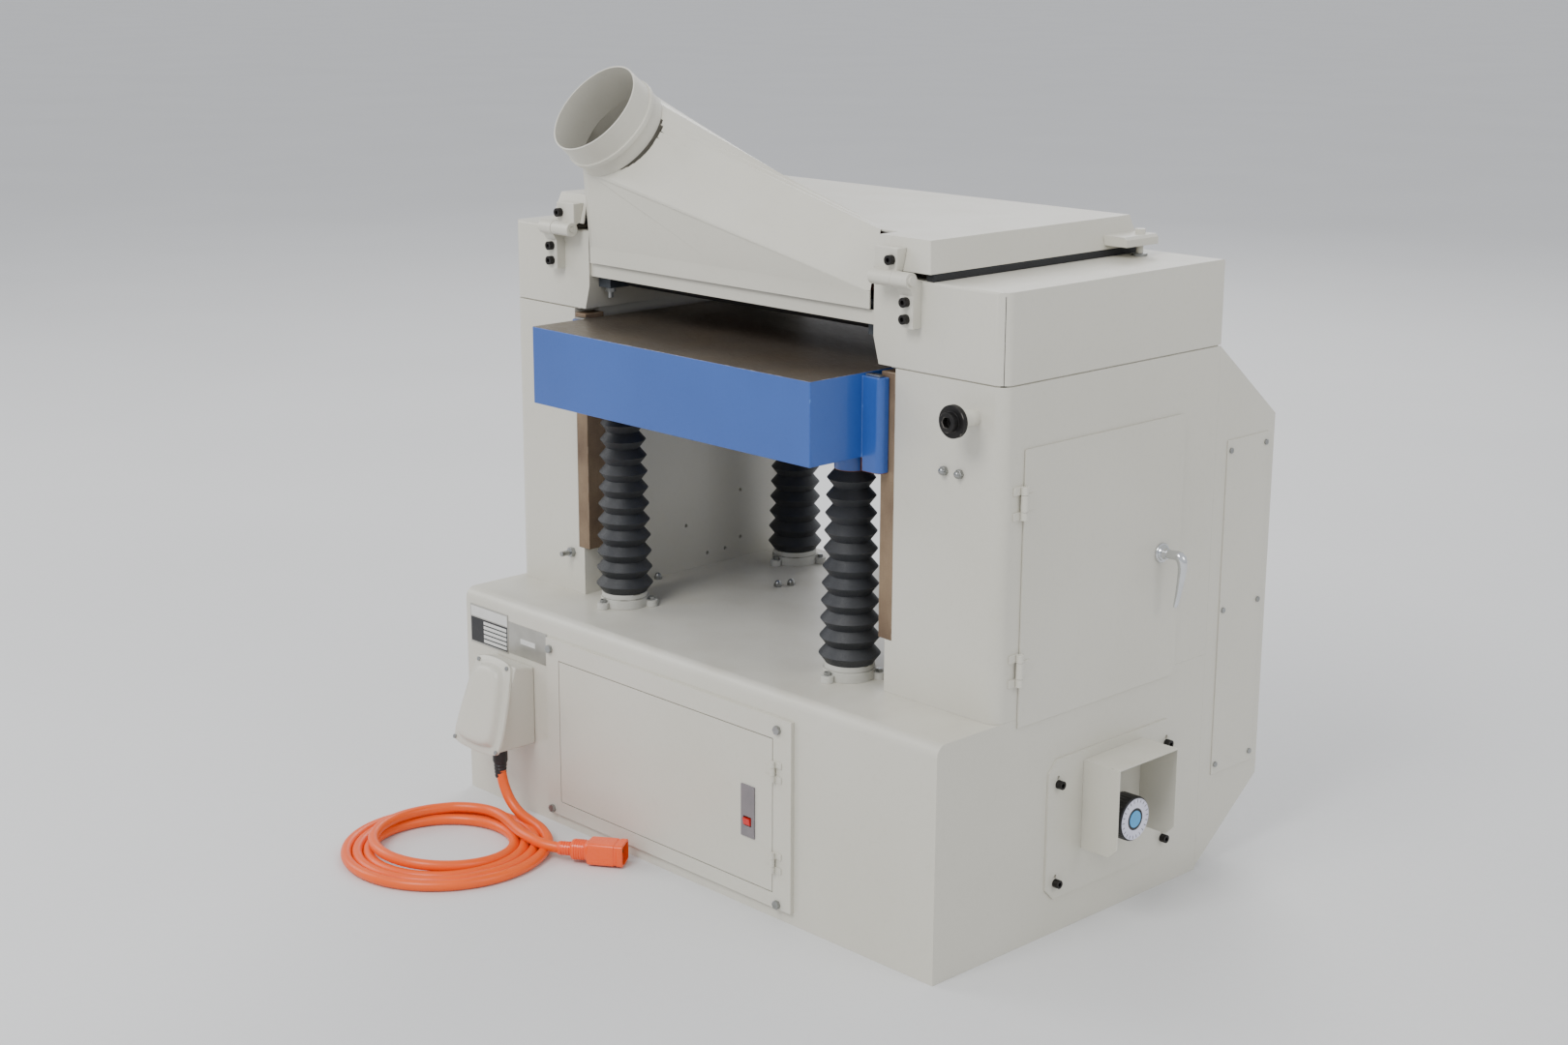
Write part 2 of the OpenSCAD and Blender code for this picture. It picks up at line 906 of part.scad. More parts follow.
module hinge_bracket() {
    difference() {
        union() {
            along_x(bracket_x, bracket_x + bracket_w)
                polygon([
                    [yc, z_head - 61], [bracket_y, z_head - 61], [bracket_y, z_head - 18.5],
                    [hinge_y - 5, z_head - 3], [hinge_y + 3, hinge_z + 5], [yc, z_head - 1]
                ]);
            rod_x(bracket_x - 1, leaf_x - run_gap, hinge_y, hinge_z, barrel_r);
        }
        rod_x(bracket_x - 2, leaf_x + eps, hinge_y, hinge_z, pin_r + fit);
    }
    // Hinge pin with its head
    rod_x(bracket_x - 4, bracket_x - 1, hinge_y, hinge_z, pin_r + 2.5);
    rod_x(bracket_x - 1, leaf_x + leaf_w, hinge_y, hinge_z, pin_r);
}

module hinge_brackets() {
    color("#cfcfc6")
    both_sides()
        hinge_bracket();
}

leaf_z1 = z_lid + 30;
leaf_front = hinge_y + 3;

module hinge_leaves() {
    color("#d6d6cc")
    both_sides()
        difference() {
            union() {
                along_x(leaf_x, leaf_x + leaf_w)
                    polygon([
                        [lid_y0, z_lid], [lid_y0 + slope_at(leaf_z1), leaf_z1],
                        [leaf_front, leaf_z1], [leaf_front, z_lid - 4], [lid_y0 - 2, z_lid]
                    ]);
                rod_x(leaf_x, leaf_x + leaf_w, hinge_y, hinge_z, barrel_r);
            }
            rod_x(leaf_x - eps, leaf_x + leaf_w + eps, hinge_y, hinge_z, pin_r + fit);
        }
}

// Cap screw whose head stands on a plane facing the front
module cap_screw_y(x, y, z) {
    difference() {
        rod_y(y - 8, y, x, z, 6.5);
        rod_y(y - 8 - eps, y - 4, x, z, 3.4, $fn = 6);
    }
}

module lid_screws() {
    color("#1f1f1f")
    both_sides()
        cap_screw_y(leaf_x + 9, leaf_front, z_lid + 15);
}

module lid_handle() {
    x0 = mid_x - 22;
    x1 = mid_x + 79;
    z0 = z_lid + 24;
    z1 = z_lid + 36;
    color("#2a2a2a") {
        for (x = [x0, x1 - 9])
            along_x(x, x + 9)
                polygon([
                    [lid_y1 - slope_at(z0), z0], [lid_y1 + 22, z0],
                    [lid_y1 + 22, z1], [lid_y1 - slope_at(z1), z1]
                ]);
        box(x0, x1, lid_y1 + 13, lid_y1 + 22, z0, z1);
    }
}

ear_z0 = z_head + 16;
ear_z1 = z_head + 30;
ear_y0 = lid_y1 - 75;
ear_y1 = lid_y1 - 5;
ear_l = 36;
latch_y = lid_y1 - 25;

module latch_ear(x, side) {
    along_y(ear_y0, ear_y1)
        polygon([
            [x - side * slope_at(ear_z0), ear_z0], [x + side * ear_l, ear_z0],
            [x + side * ear_l, ear_z1 - 4], [x + side * (ear_l - 4), ear_z1],
            [x - side * slope_at(ear_z1), ear_z1]
        ]);
    // Brass clamp bolt, standing just above its pad
    rod_z(z_head + 3.3, ear_z0, x + side * 20, latch_y, 5);
    rod_z(ear_z1, ear_z1 + 7, x + side * 20, latch_y, 8, $fn = 6);
}

module latch_ears() {
    color("#d6d6cc") {
        latch_ear(lid_x1, 1);
        latch_ear(lid_x0, -1);
    }
}

// ---------- drum, rollers and drives ----------

drum_r = drum_d / 2;

// Grooved pulley for the flat belt
module pulley(x0, y, z, r) {
    rod_x(x0, x0 + belt_w + 4, y, z, r - 4);
    for (x = [x0, x0 + belt_w + 1])
        rod_x(x, x + 3, y, z, r + 2);
}

module sanding_drum() {
    color("#9da0a3") {
        rod_x(drum_x0, drum_x1, drum_y, drum_z, drum_r);
        rod_x(head_l - 40, belt_x0 + belt_w + 12, drum_y, drum_z, shaft_r);
        pulley(belt_x0 - 2, drum_y, drum_z, drum_pulley_d / 2);
    }
}

module abrasive_wrap() {
    color("#8a5a3c")
    difference() {
        rod_x(drum_x0 + 3, drum_x1 - 3, drum_y, drum_z, drum_r + wrap_t);
        rod_x(drum_x0, drum_x1, drum_y, drum_z, drum_r + fit);
    }
}

module feed_roller(y, sprockets) {
    rod_x(head_l + block_w + 3, head_r - block_w - 3, y, roller_z, roller_d / 2);
    rod_x(head_l - 30, chain_x0 + 26, y, roller_z, roller_shaft_r);
    for (x = sprockets)
        rod_x(x, x + sprocket_w, y, roller_z, 22);
}

module infeed_roller() {
    color("#6f7275")
        feed_roller(roller_y0, [chain_x0 + 13]);
}

module outfeed_roller() {
    color("#6f7275")
        feed_roller(roller_y1, [chain_x0, chain_x0 + 13]);
}

module ring_x(x0, x1, y, z, r_out, r_in) {
    difference() {
        rod_x(x0, x1, y, z, r_out);
        rod_x(x0 - eps, x1 + eps, y, z, r_in);
    }
}

block_z0 = z_head - 85;
block_z1 = z_head - 38;

// Block that carries a roller's end and its height screw
module roller_block(x0, x1, y) {
    difference() {
        box(x0, x1, y - 44, y + 24, block_z0, block_z1);
        rod_x(x0 - eps, x1 + eps, y, roller_z, roller_shaft_r + fit);
    }
}

module shaft_bearings() {
    color("#55585b") {
        for (x = [head_l - wall_t - 18, head_r + wall_t]) {
            ring_x(x, x + 18, drum_y, drum_z, shaft_r + 16, shaft_r + fit);
            for (y = [roller_y0, roller_y1])
                ring_x(x, x + 18, y, roller_z, roller_shaft_r + 10, roller_shaft_r + fit);
        }
        for (y = [roller_y0, roller_y1]) {
            roller_block(head_l, head_l + block_w, y);
            roller_block(head_r - block_w, head_r, y);
        }
    }
}

// A closed loop round two wheels
module drive_loop(x0, w, a, b, ra, rb, t) {
    along_x(x0, x0 + w)
        difference() {
            hull() {
                translate(a) circle(r = ra + t, $fn = 32);
                translate(b) circle(r = rb + t, $fn = 32);
            }
            hull() {
                translate(a) circle(r = ra, $fn = 32);
                translate(b) circle(r = rb, $fn = 32);
            }
        }
}

feed_motor_y = yr + 68;
feed_motor_z = base_h + 190;

module drive_belts() {
    chain_r = 22.6;
    color("#202020") {
        drive_loop(belt_x0 + 2, belt_w - 4, [motor_y, motor_z], [drum_y, drum_z],
            motor_pulley_d / 2 - 3, drum_pulley_d / 2 - 3, 6);
        drive_loop(chain_x0 + 1, sprocket_w - 2, [feed_motor_y, feed_motor_z], [roller_y1, roller_z],
            chain_r, chain_r, 4);
        drive_loop(chain_x0 + 14, sprocket_w - 2, [roller_y0, roller_z], [roller_y1, roller_z],
            chain_r, chain_r, 4);
    }
}

module main_motor() {
    color("#4b5a66")
    difference() {
        union() {
            rod_x(xr - 430, xr - 200, motor_y, motor_z, motor_r);
            box(xr - 410, xr - 220, motor_y - 60, motor_y + 60, wall_t, motor_z - 50);
        }
        rod_x(xr - 260, xr - 199, motor_y, motor_z, 14 + fit);
    }
}

module motor_pulley() {
    color("#6f7275") {
        pulley(belt_x0 - 2, motor_y, motor_z, motor_pulley_d / 2);
        rod_x(xr - 258, belt_x0 + belt_w + 8, motor_y, motor_z, 14);
    }
}

module feed_motor() {
    color("#4b5a66") {
        rod_x(xr - 175, xr - 60, feed_motor_y, feed_motor_z, 45);
        box(xr - 160, xr - 80, feed_motor_y + 20, yr + guard_d - 2.5, feed_motor_z - 30, feed_motor_z + 30);
        rod_x(xr - 61, xr - 30, feed_motor_y, feed_motor_z, 9);
        rod_x(chain_x0, chain_x0 + sprocket_w, feed_motor_y, feed_motor_z, 22);
    }
}

// ---------- height crank ----------

module height_hub() {
    y0 = yc - hub_sleeve_l - run_gap;
    color("#aaaaa6")
    difference() {
        union() {
            rod_y(y0 - 9, yc + 60, hub_x, hub_z, hub_shaft_r);
            rod_y(y0 - 8, y0, hub_x, hub_z, 21.5);
            rod_y(y0 - 17, y0 - 8, hub_x, hub_z, 13);
            rod_y(yc + wall_t + 6, yc + wall_t + 24, hub_x, hub_z, 18);
        }
        rod_y(y0 - 18, y0 - 8, hub_x, hub_z, 7.5, $fn = 6);
    }
}

// ---------- service door ----------

hinge_levels = [door_z0 + 59, door_z0 + 283];
knuckle_l = 44;
knuckle_a = 10.7;

module service_door() {
    color("#d2d2c9") {
        difference() {
            along_x(door_face, door_face + door_t)
                difference() {
                    rect(door_y0, door_y0 + door_d, door_z0, door_z0 + door_h);
                    corner_waste(door_y0 + door_d, door_z0, 12, 1, -1);
                    corner_waste(door_y0 + door_d, door_z0 + door_h, 12, 1, 1);
                }
            rod_x(door_face - eps, door_face + door_t + eps, handle_y, handle_z, 4 + fit);
        }
        for (z = hinge_levels)
            difference() {
                union() {
                    rod_z(z + knuckle_a + run_gap, z + knuckle_l - knuckle_a - run_gap,
                        door_pin_x, door_pin_y, 5);
                    box(door_face + door_t, door_face + door_t + 2, door_pin_y, door_y0 + 18,
                        z + knuckle_a + run_gap, z + knuckle_l - knuckle_a - run_gap);
                }
                rod_z(z - eps, z + knuckle_l + eps, door_pin_x, door_pin_y, 2.5 + fit);
            }
    }
}

module door_hinges() {
    color("#b9b9b2")
    for (z = hinge_levels) {
        for (k = [[z, z + knuckle_a], [z + knuckle_l - knuckle_a, z + knuckle_l]]) {
            rod_z(k[0], k[1], door_pin_x, door_pin_y, 5);
            box(xr, xr + 2.5, door_pin_y - 16, door_pin_y + 2, k[0], k[1]);
        }
        rod_z(z + 1, z + knuckle_l - 1, door_pin_x, door_pin_y, 2.5);
    }
}

module door_handle() {
    x0 = door_face + door_t + run_gap;
    color("#1d1d1d") {
        rod_x(x0, x0 + 9, handle_y, handle_z, 14);
        rod_x(x0 + 9, x0 + 22, handle_y, handle_z, 9);
        box(x0 + 13, x0 + 22, handle_y - 7, handle_y + 7, handle_z - 73, handle_z);
        rod_x(door_face - 6, x0, handle_y, handle_z, 4);
        rod_x(door_face - 6, door_face - run_gap, handle_y, handle_z, 9);
    }
}

// ---------- controls on the front ----------

module control_frame() {
    color("#c9c9c0")
    difference() {
        box(frame_x0, frame_x1, yf - frame_t, yf, frame_z0, frame_z1);
        // Seat of the flush door, and the window behind it
        box(control_x0 - 1.5, control_x0 + control_w + 1.5, yf - frame_t - eps, yf - frame_t + door_t + 0.4,
            control_z0 - 1.5, control_z0 + control_h + 1.5);
        box(control_x0 + 12, control_x0 + control_w - 12, yf - frame_t - eps, yf + eps,
            control_z0 + 12, control_z0 + control_h - 12);
    }
    // Fixed knuckles of the door's hinges
    color("#c9c9c0")
    for (z = [control_z0 + 30, control_z0 + control_h - 60]) {
        for (k = [[z, z + 9], [z + 21, z + 30]]) {
            rod_z(k[0], k[1], control_pin_x, control_pin_y, 3.5);
            box(control_pin_x, control_pin_x + 14, yf - frame_t - 1.5, yf - frame_t, k[0], k[1]);
            box(control_pin_x, control_pin_x + 3, control_pin_y, yf - frame_t - 1, k[0], k[1]);
        }
        rod_z(z + 1, z + 29, control_pin_x, control_pin_y, 1.5);
    }
}

control_pin_y = yf - frame_t - 4;

module control_door() {
    color("#cfcfc6")
    difference() {
        union() {
            box(control_x0, control_x0 + control_w, control_y, control_y + door_t,
                control_z0, control_z0 + control_h);
            // Plate that carries the switch
            box(switch_x - 13, switch_x + 14, control_y - 2, control_y, rocker_z - 23, rocker_z + 53);
        }
        box(switch_x - 8, switch_x + 8, control_y - 3, control_y + door_t + eps,
            rocker_z - 7, rocker_z + 7);
        rod_x(switch_x - 11, switch_x + 11, control_y + door_t / 2, rocker_z, 1 + fit);
    }
    color("#cfcfc6")
    for (z = [control_z0 + 30, control_z0 + control_h - 60])
        difference() {
            union() {
                rod_z(z + 9.3, z + 20.7, control_pin_x, control_pin_y, 3.5);
                box(control_x0 + control_w - 14, control_pin_x,
                    control_y - 1.5, control_y, z + 9.3, z + 20.7);
                box(control_pin_x - 3, control_pin_x, control_pin_y, control_y - 1, z + 9.3, z + 20.7);
            }
            rod_z(z, z + 30, control_pin_x, control_pin_y, 1.5 + fit);
        }
}

module switch_rocker() {
    y = control_y + door_t / 2;
    color("#c8202a") {
        along_x(switch_x - 6.7, switch_x + 6.7)
            polygon([
                [y + 1.2, rocker_z - 4.4], [y - 4.6, rocker_z - 5], [y - 5.4, rocker_z],
                [y - 6.4, rocker_z + 5], [y + 1.2, rocker_z + 4.4]
            ]);
        rod_x(switch_x - 10.5, switch_x + 10.5, y, rocker_z, 1);
    }
}

box_y = yf + 84;

module control_box() {
    color("#b9b9b2")
    difference() {
        box(control_x0 + 8, control_x0 + control_w - 8, yf + wall_t, box_y,
            control_z0 + 8, control_z0 + control_h - 8);
        box(control_x0 + 11, control_x0 + control_w - 11, yf + wall_t - eps, box_y - 3,
            control_z0 + 11, control_z0 + control_h - 11);
    }
}

module contactors() {
    color("#3a3d40")
    for (i = [0 : 4]) {
        x = control_x0 + 60 + i * 62;
        box(x, x + 45, box_y - 43, box_y - 3, control_z0 + 96, control_z0 + 166);
    }
    // Terminal rail
    color("#a8a8a0")
        box(control_x0 + 40, control_x0 + 400, box_y - 15, box_y - 3, control_z0 + 48, control_z0 + 60);
}

module rating_plates() {
    color("#e4e4de") {
        box(xl + 11, xl + 107, yf - 1, yf, base_h - 85, base_h - 23);
        box(xl + 109, xl + 203, yf - 1, yf, base_h - 82, base_h - 32);
    }
}

// ---------- junction box, cord and plug ----------

jbox_a = [yf - 36, 245];
jbox_b = [yf - 76, 116];
jbox_half = 47;
jbox_tilt = atan2(jbox_a[0] - jbox_b[0], jbox_a[1] - jbox_b[1]);

module junction_box() {
    color("#c9c9c0")
        along_x(jbox_x - jbox_half, jbox_x + jbox_half)
            polygon([[yf, 238], jbox_a, jbox_b, [yf, jbox_b[1]]]);
}

// Cover's outline, narrower at the top, with cut corners
module cover_outline(inset) {
    w0 = 60 - inset;
    w1 = 41 - inset;
    h0 = -73 + inset;
    h1 = 73 - inset;
    c = 14;
    polygon([
        [-w0, h0 + c], [-w0 + c, h0], [w0 - c, h0], [w0, h0 + c],
        [w1 + 6, h1 - 18], [w1 - 6, h1], [-w1 + 6, h1], [-w1 - 6, h1 - 18]
    ]);
}

module on_cover() {
    translate([jbox_x, (jbox_a[0] + jbox_b[0]) / 2, (jbox_a[1] + jbox_b[1]) / 2])
        rotate([-jbox_tilt, 0, 0])
            children();
}

module junction_lid() {
    color("#d6d6cc")
    on_cover() {
        along_y(-5, -0.02)
            cover_outline(0);
        along_y(-13, -5)
            cover_outline(14);
    }
}

module cord_gland() {
    color("#1c1c1c")
        rod_z(gland_z, jbox_b[1], cord_route[0][0], cord_route[0][1], 11.5);
}

function unit(v) = v / norm(v);
function lead_at(pts, i) =
    unit(pts[min(i + 1, len(pts) - 1)] - pts[max(i - 1, 0)]);
function tube_ring(pts, i, r) =
    let (
        t = i == 0 ? unit(pts[1] - pts[0]) : lead_at(pts, i),
        a = unit(cross([0, 1, 0], t)),
        b = cross(t, a)
    )
    [for (k = [0 : cord_sides - 1])
        let (w = 360 * k / cord_sides) pts[i] + r * (cos(w) * a + sin(w) * b)];

module tube(pts, r) {
    n = cord_sides;
    last = len(pts) - 1;
    polyhedron(
        points = [for (i = [0 : last]) for (p = tube_ring(pts, i, r)) p],
        faces = concat(
            [for (i = [0 : last - 1]) for (k = [0 : n - 1])
                let (m = (k + 1) % n) [i * n + k, (i + 1) * n + m, i * n + m]],
            [for (i = [0 : last - 1]) for (k = [0 : n - 1])
                let (m = (k + 1) % n) [i * n + k, (i + 1) * n + k, (i + 1) * n + m]],
            [[for (k = [0 : n - 1]) k]],
            [[for (k = [0 : n - 1]) last * n + n - 1 - k]]
        )
    );
}

module power_cord() {
    color("#e2571e")
        tube(cord_route, cord_r);
}

module cord_coil() {
    color("#e2571e")
    translate([coil_x, coil_y, 0])
        rotate_extrude($fn = 96)
            polygon([
                [coil_mean_r - coil_band / 2, 4], [coil_mean_r - coil_band / 2 + 5, 0],
                [coil_mean_r + coil_band / 2 - 5, 0], [coil_mean_r + coil_band / 2, 4],
                [coil_mean_r + coil_band / 2, coil_h - 12], [coil_mean_r + coil_band / 2 - 8, coil_h],
                [coil_mean_r - coil_band / 2 + 8, coil_h], [coil_mean_r - coil_band / 2, coil_h - 12]
            ]);
}

module power_plug() {
    color("#e2571e")
    translate(plug_at)
        rotate([0, 0, plug_turn]) {
            rod_x(-18, 2, 0, 0, 9.5);
            rod_x(2, 28, 0, 0, 15);
            difference() {
                box(28, 84, -19, 19, -17, 17);
                box(62, 85, -16, 16, -14, 14);
            }
            for (y = [-8, 8])
                box(61, 78, y - 1, y + 1, -4, 4);
            box(61, 78, -4, 4, 7, 9);
        }
}

// ---------- speed control ----------

hood_y0 = speed_y0 + 73;
hood_y1 = speed_y0 + 202;
hood_x1 = xr + 65;
hood_z1 = speed_z0 + 188;
hood_z0 = speed_z0 + 59;

module speed_plate() {
    c = 17;
    y1 = speed_y0 + speed_plate_w;
    z1 = speed_z0 + speed_plate_h;
    color("#cfcfc6")
    difference() {
        union() {
            along_x(xr, xr + speed_t)
                polygon([
                    [speed_y0 + c, speed_z0], [y1 - c, speed_z0], [y1, speed_z0 + c], [y1, z1 - c],
                    [y1 - c, z1], [speed_y0 + c, z1], [speed_y0, z1 - c], [speed_y0, speed_z0 + c]
                ]);
            rod_x(xr - 24, xr + speed_t, dial_y, dial_z, 22);
        }
        rod_x(xr - 20, xr + speed_t + eps, dial_y, dial_z, 8 + fit);
        for (p = speed_screws)
            rod_x(xr - eps, xr + speed_t + eps, p[0], p[1] + 9, 3);
    }
}

speed_screws = [
    for (y = [speed_y0 + 20, speed_y0 + speed_plate_w - 17])
        for (z = [speed_z0 + 23, speed_z0 + speed_plate_h - 36]) [y, z]
];

module dial_hood() {
    color("#c9c9c0")
    difference() {
        box(xr + speed_t, hood_x1, hood_y0, hood_y1, hood_z0, hood_z1);
        box(xr + speed_t - eps, hood_x1 + eps, hood_y0 + 2, hood_y1 - 2, hood_z0 - eps, hood_z1 - 2);
        along_y(hood_y0 - eps, hood_y1 + eps)
            polygon([
                [hood_x1 - 15, hood_z0 - eps], [hood_x1 + eps, hood_z0 - eps], [hood_x1 + eps, hood_z0 + 15]
            ]);
    }
}

module speed_knob() {
    color("#1d1d1d") {
        rod_x(xr + speed_t + 9, xr + 45, dial_y, dial_z, dial_d / 2);
        rod_x(xr - 19, xr + speed_t + 9, dial_y, dial_z, 8);
    }
}

// ---------- rear guard ----------

guard_x0 = xi_r + 8;
guard_t = 2.5;

module guard_side(t) {
    polygon([
        [yr - (t > 0 ? eps : 0), z_col - 2.2 * t], [yr + guard_d - t, z_col - 114 - t],
        [yr + guard_d - t, 115 + t], [yr - (t > 0 ? eps : 0), 4 + 2.2 * t]
    ]);
}

module rear_guard() {
    color("#cfcfc6")
    difference() {
        along_x(guard_x0, xr)
            guard_side(0);
        along_x(guard_x0 + guard_t, xr - guard_t)
            guard_side(guard_t);
        box(xr - guard_t - eps, xr + eps, yr + 40, yr + 112, 155, 620);
    }
}

module guard_panel() {
    color("#cfcfc6")
        box(xr, xr + 2, yr + 27, yr + 125, 140, 638);
}

// ---------- fasteners ----------

module hex_y(x, y, z, r, h) {
    rod_y(y - h, y, x, z, r, $fn = 6);
}

module zinc_bolts() {
    color("#a9acae") {
        // Control frame
        for (x = [frame_x0 + 10, frame_x1 - 26])
            for (z = [frame_z0 + 4, frame_z1 - 19])
                hex_y(x, yf - frame_t, z + 3, 6.5, 5);
        // Screw flanges
        for (p = screw_pos)
            for (a = [30, 150, 270])
                rod_z(base_h + flange_t - 4, base_h + flange_t + 1,
                    p[0] + lobe_at * cos(a), p[1] + lobe_at * sin(a), 5, $fn = 6);
        // Ledge nuts
        for (p = [
            [mid_x - 149, yc + 249], [mid_x - 141, yc + 270], [xi_l + 10, yc + 140], [mid_x - 175, yc + 387]
        ])
            dome_nut(p[0], p[1], base_h, 6.5);
        // Nuts on the right column's front
        for (x = [hub_x - 49, hub_x - 22])
            translate([x, yc, hub_z - 78])
                rotate([90, 0, 0])
                    dome_nut(0, 0, 0, 6.5);
        // Stud on the left column's front
        rod_y(yc - 7, yc, xi_l - 29, base_h + 63, 8, $fn = 6);
        rod_y(yc - 23, yc - 7, xi_l - 29, base_h + 63, 4);
        // Height screws of the roller blocks
        for (x = [head_l + 13, head_r - 13])
            for (y = [roller_y0 - 32, roller_y1 - 32]) {
                rod_z(block_z0 - 7, block_z0, x, y, 8, $fn = 6);
                rod_z(max(block_z0 - 24, table_z + lift_up + 3), block_z0 - 7, x, y, 4.5);
            }
        // Pads for the lid's clamp bolts
        for (x = [lid_x0 - 20, lid_x1 + 20])
            rod_z(z_head, z_head + 3, x, latch_y, 11);
        // Guard panel
        for (y = [yr + 34, yr + 118])
            for (z = [155, 389, 623])
                rod_x(xr + 2, xr + 4.5, y, z, 4);
        // Junction box cover
        on_cover()
            for (p = [[-52, -64], [52, -64], [-35, 63], [35, 63]])
                hex_y(p[0], -5, p[1], 3.6, 2);
    }
}

module cap_screws() {
    color("#1f1f1f") {
        both_sides()
            for (z = [z_head - 49, z_head - 27])
                cap_screw_y(bracket_x + 12, bracket_y, z);
        for (p = speed_screws)
            difference() {
                rod_x(xr + speed_t, xr + speed_t + 9, p[0], p[1], 6);
                rod_x(xr + speed_t + 4, xr + speed_t + 10, p[0], p[1], 3.2, $fn = 6);
            }
    }
}

base_housing();
left_column();
right_column();
left_head();
right_head();
rear_beam();
front_deflector();
guide_bars();
screw_flanges();
bellows_rings();
zinc_bolts();
cap_screws();
lid_gasket();
hinge_brackets();
control_frame();
control_box();
contactors();
rating_plates();
junction_box();
junction_lid();
cord_gland();
power_cord();
cord_coil();
power_plug();
speed_plate();
dial_hood();
rear_guard();
guard_panel();
door_hinges();
main_motor();
drive_belts();
feed_motor();
shaft_bearings();
lift_chain();
bellows();
lid_cover();
dust_chute();
dust_collar();
hinge_leaves();
lid_screws();
lid_handle();
latch_ears();
table_casting();
gib_plates();
lift_screws();
sanding_drum();
abrasive_wrap();
infeed_roller();
outfeed_roller();
lift_nut_fl();
lift_nut_fr();
lift_nut_rl();
lift_nut_rr();
height_hub();
service_door();
door_handle();
control_door();
switch_rocker();
speed_knob();
motor_pulley();
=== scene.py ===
import json
import math

import bmesh
import bpy
from mathutils import Matrix, Vector


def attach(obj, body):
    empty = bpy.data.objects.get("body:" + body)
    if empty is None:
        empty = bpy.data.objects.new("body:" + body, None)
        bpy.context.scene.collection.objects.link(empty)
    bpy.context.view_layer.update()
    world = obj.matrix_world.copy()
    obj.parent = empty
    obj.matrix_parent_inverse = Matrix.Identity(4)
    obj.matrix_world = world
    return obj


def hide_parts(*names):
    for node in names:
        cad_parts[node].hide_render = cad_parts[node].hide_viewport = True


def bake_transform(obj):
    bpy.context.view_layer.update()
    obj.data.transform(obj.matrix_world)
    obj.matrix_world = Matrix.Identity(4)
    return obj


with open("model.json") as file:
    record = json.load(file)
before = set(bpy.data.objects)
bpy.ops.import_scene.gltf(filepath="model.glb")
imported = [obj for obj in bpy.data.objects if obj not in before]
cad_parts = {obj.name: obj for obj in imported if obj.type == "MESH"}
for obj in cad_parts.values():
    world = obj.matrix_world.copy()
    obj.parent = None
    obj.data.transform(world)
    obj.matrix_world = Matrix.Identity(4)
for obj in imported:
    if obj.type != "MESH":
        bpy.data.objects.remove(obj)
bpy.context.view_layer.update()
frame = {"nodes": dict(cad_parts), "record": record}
nodes = frame["nodes"]
record = frame["record"]
bodyOf = {n: b for b, members in record["behaviour"]["bodies"].items() for n in members}
mm = 0.001
print("frame loaded:", len(nodes), "pieces")


# view of the front and right side
cameraView = {"azimuth": 46.18, "elevation": 14.49, "roll": 0.217, "lens": 53.3,
              "place": (2.365, -2.342, 1.339)}


def makeCamera(s):
    az, el, roll = (math.radians(s[k]) for k in ("azimuth", "elevation", "roll"))
    back = Vector((math.sin(az) * math.cos(el), -math.cos(az) * math.cos(el), math.sin(el)))
    side = Vector((math.cos(az), math.sin(az), 0))
    over = back.cross(side)
    right = side * math.cos(roll) + over * math.sin(roll)
    up = over * math.cos(roll) - side * math.sin(roll)
    data = bpy.data.cameras.new("sceneCamera")
    data.lens = s["lens"]
    data.sensor_width = 36
    camera = bpy.data.objects.new("sceneCamera", data)
    turn = Matrix((right, up, back)).transposed().to_4x4()
    camera.matrix_world = Matrix.Translation(s["place"]) @ turn
    bpy.context.scene.collection.objects.link(camera)
    bpy.context.scene.camera = camera


makeCamera(cameraView)
print("camera placed")


# colour, wear, dust and grain, shared by all materials
def addNode(tree, kind, inputs=None, **settings):
    node = tree.nodes.new(kind)
    for key, value in settings.items():
        setattr(node, key, value)
    for key, value in (inputs or {}).items():
        node.inputs[key].default_value = value
    return node


def shaderGroup(name, inputs, outputs):
    tree = bpy.data.node_groups.new(name, "ShaderNodeTree")
    for title, kind, value in inputs:
        tree.interface.new_socket(title, in_out="INPUT", socket_type="NodeSocket" + kind).default_value = value
    for title, kind in outputs:
        tree.interface.new_socket(title, in_out="OUTPUT", socket_type="NodeSocket" + kind)
    return tree, tree.nodes.new("NodeGroupInput"), tree.nodes.new("NodeGroupOutput")


def mixColour(tree, factor, first, second):
    node = addNode(tree, "ShaderNodeMix", data_type="RGBA")
    tree.links.new(factor, node.inputs[0])
    tree.links.new(first, node.inputs[6])
    tree.links.new(second, node.inputs[7])
    return node.outputs[2]


def calc(tree, operation, first, second=None):
    node = addNode(tree, "ShaderNodeMath", operation=operation)
    for slot, value in enumerate((first, second)):
        if value is None:
            continue
        if isinstance(value, (int, float)):
            node.inputs[slot].default_value = value
        else:
            tree.links.new(value, node.inputs[slot])
    return node.outputs[0]


def spread(tree, value, low, high, toLow=0.0, toHigh=1.0):
    node = addNode(tree, "ShaderNodeMapRange", {1: low, 2: high, 3: toLow, 4: toHigh})
    tree.links.new(value, node.inputs[0])
    return node.outputs[0]


def cloud(tree, scale, detail, coordinates):
    node = addNode(tree, "ShaderNodeTexNoise", {"Detail": detail})
    tree.links.new(coordinates, node.inputs["Vector"])
    if isinstance(scale, (int, float)):
        node.inputs["Scale"].default_value = scale
    else:
        tree.links.new(scale, node.inputs["Scale"])
    return node.outputs["Fac"]


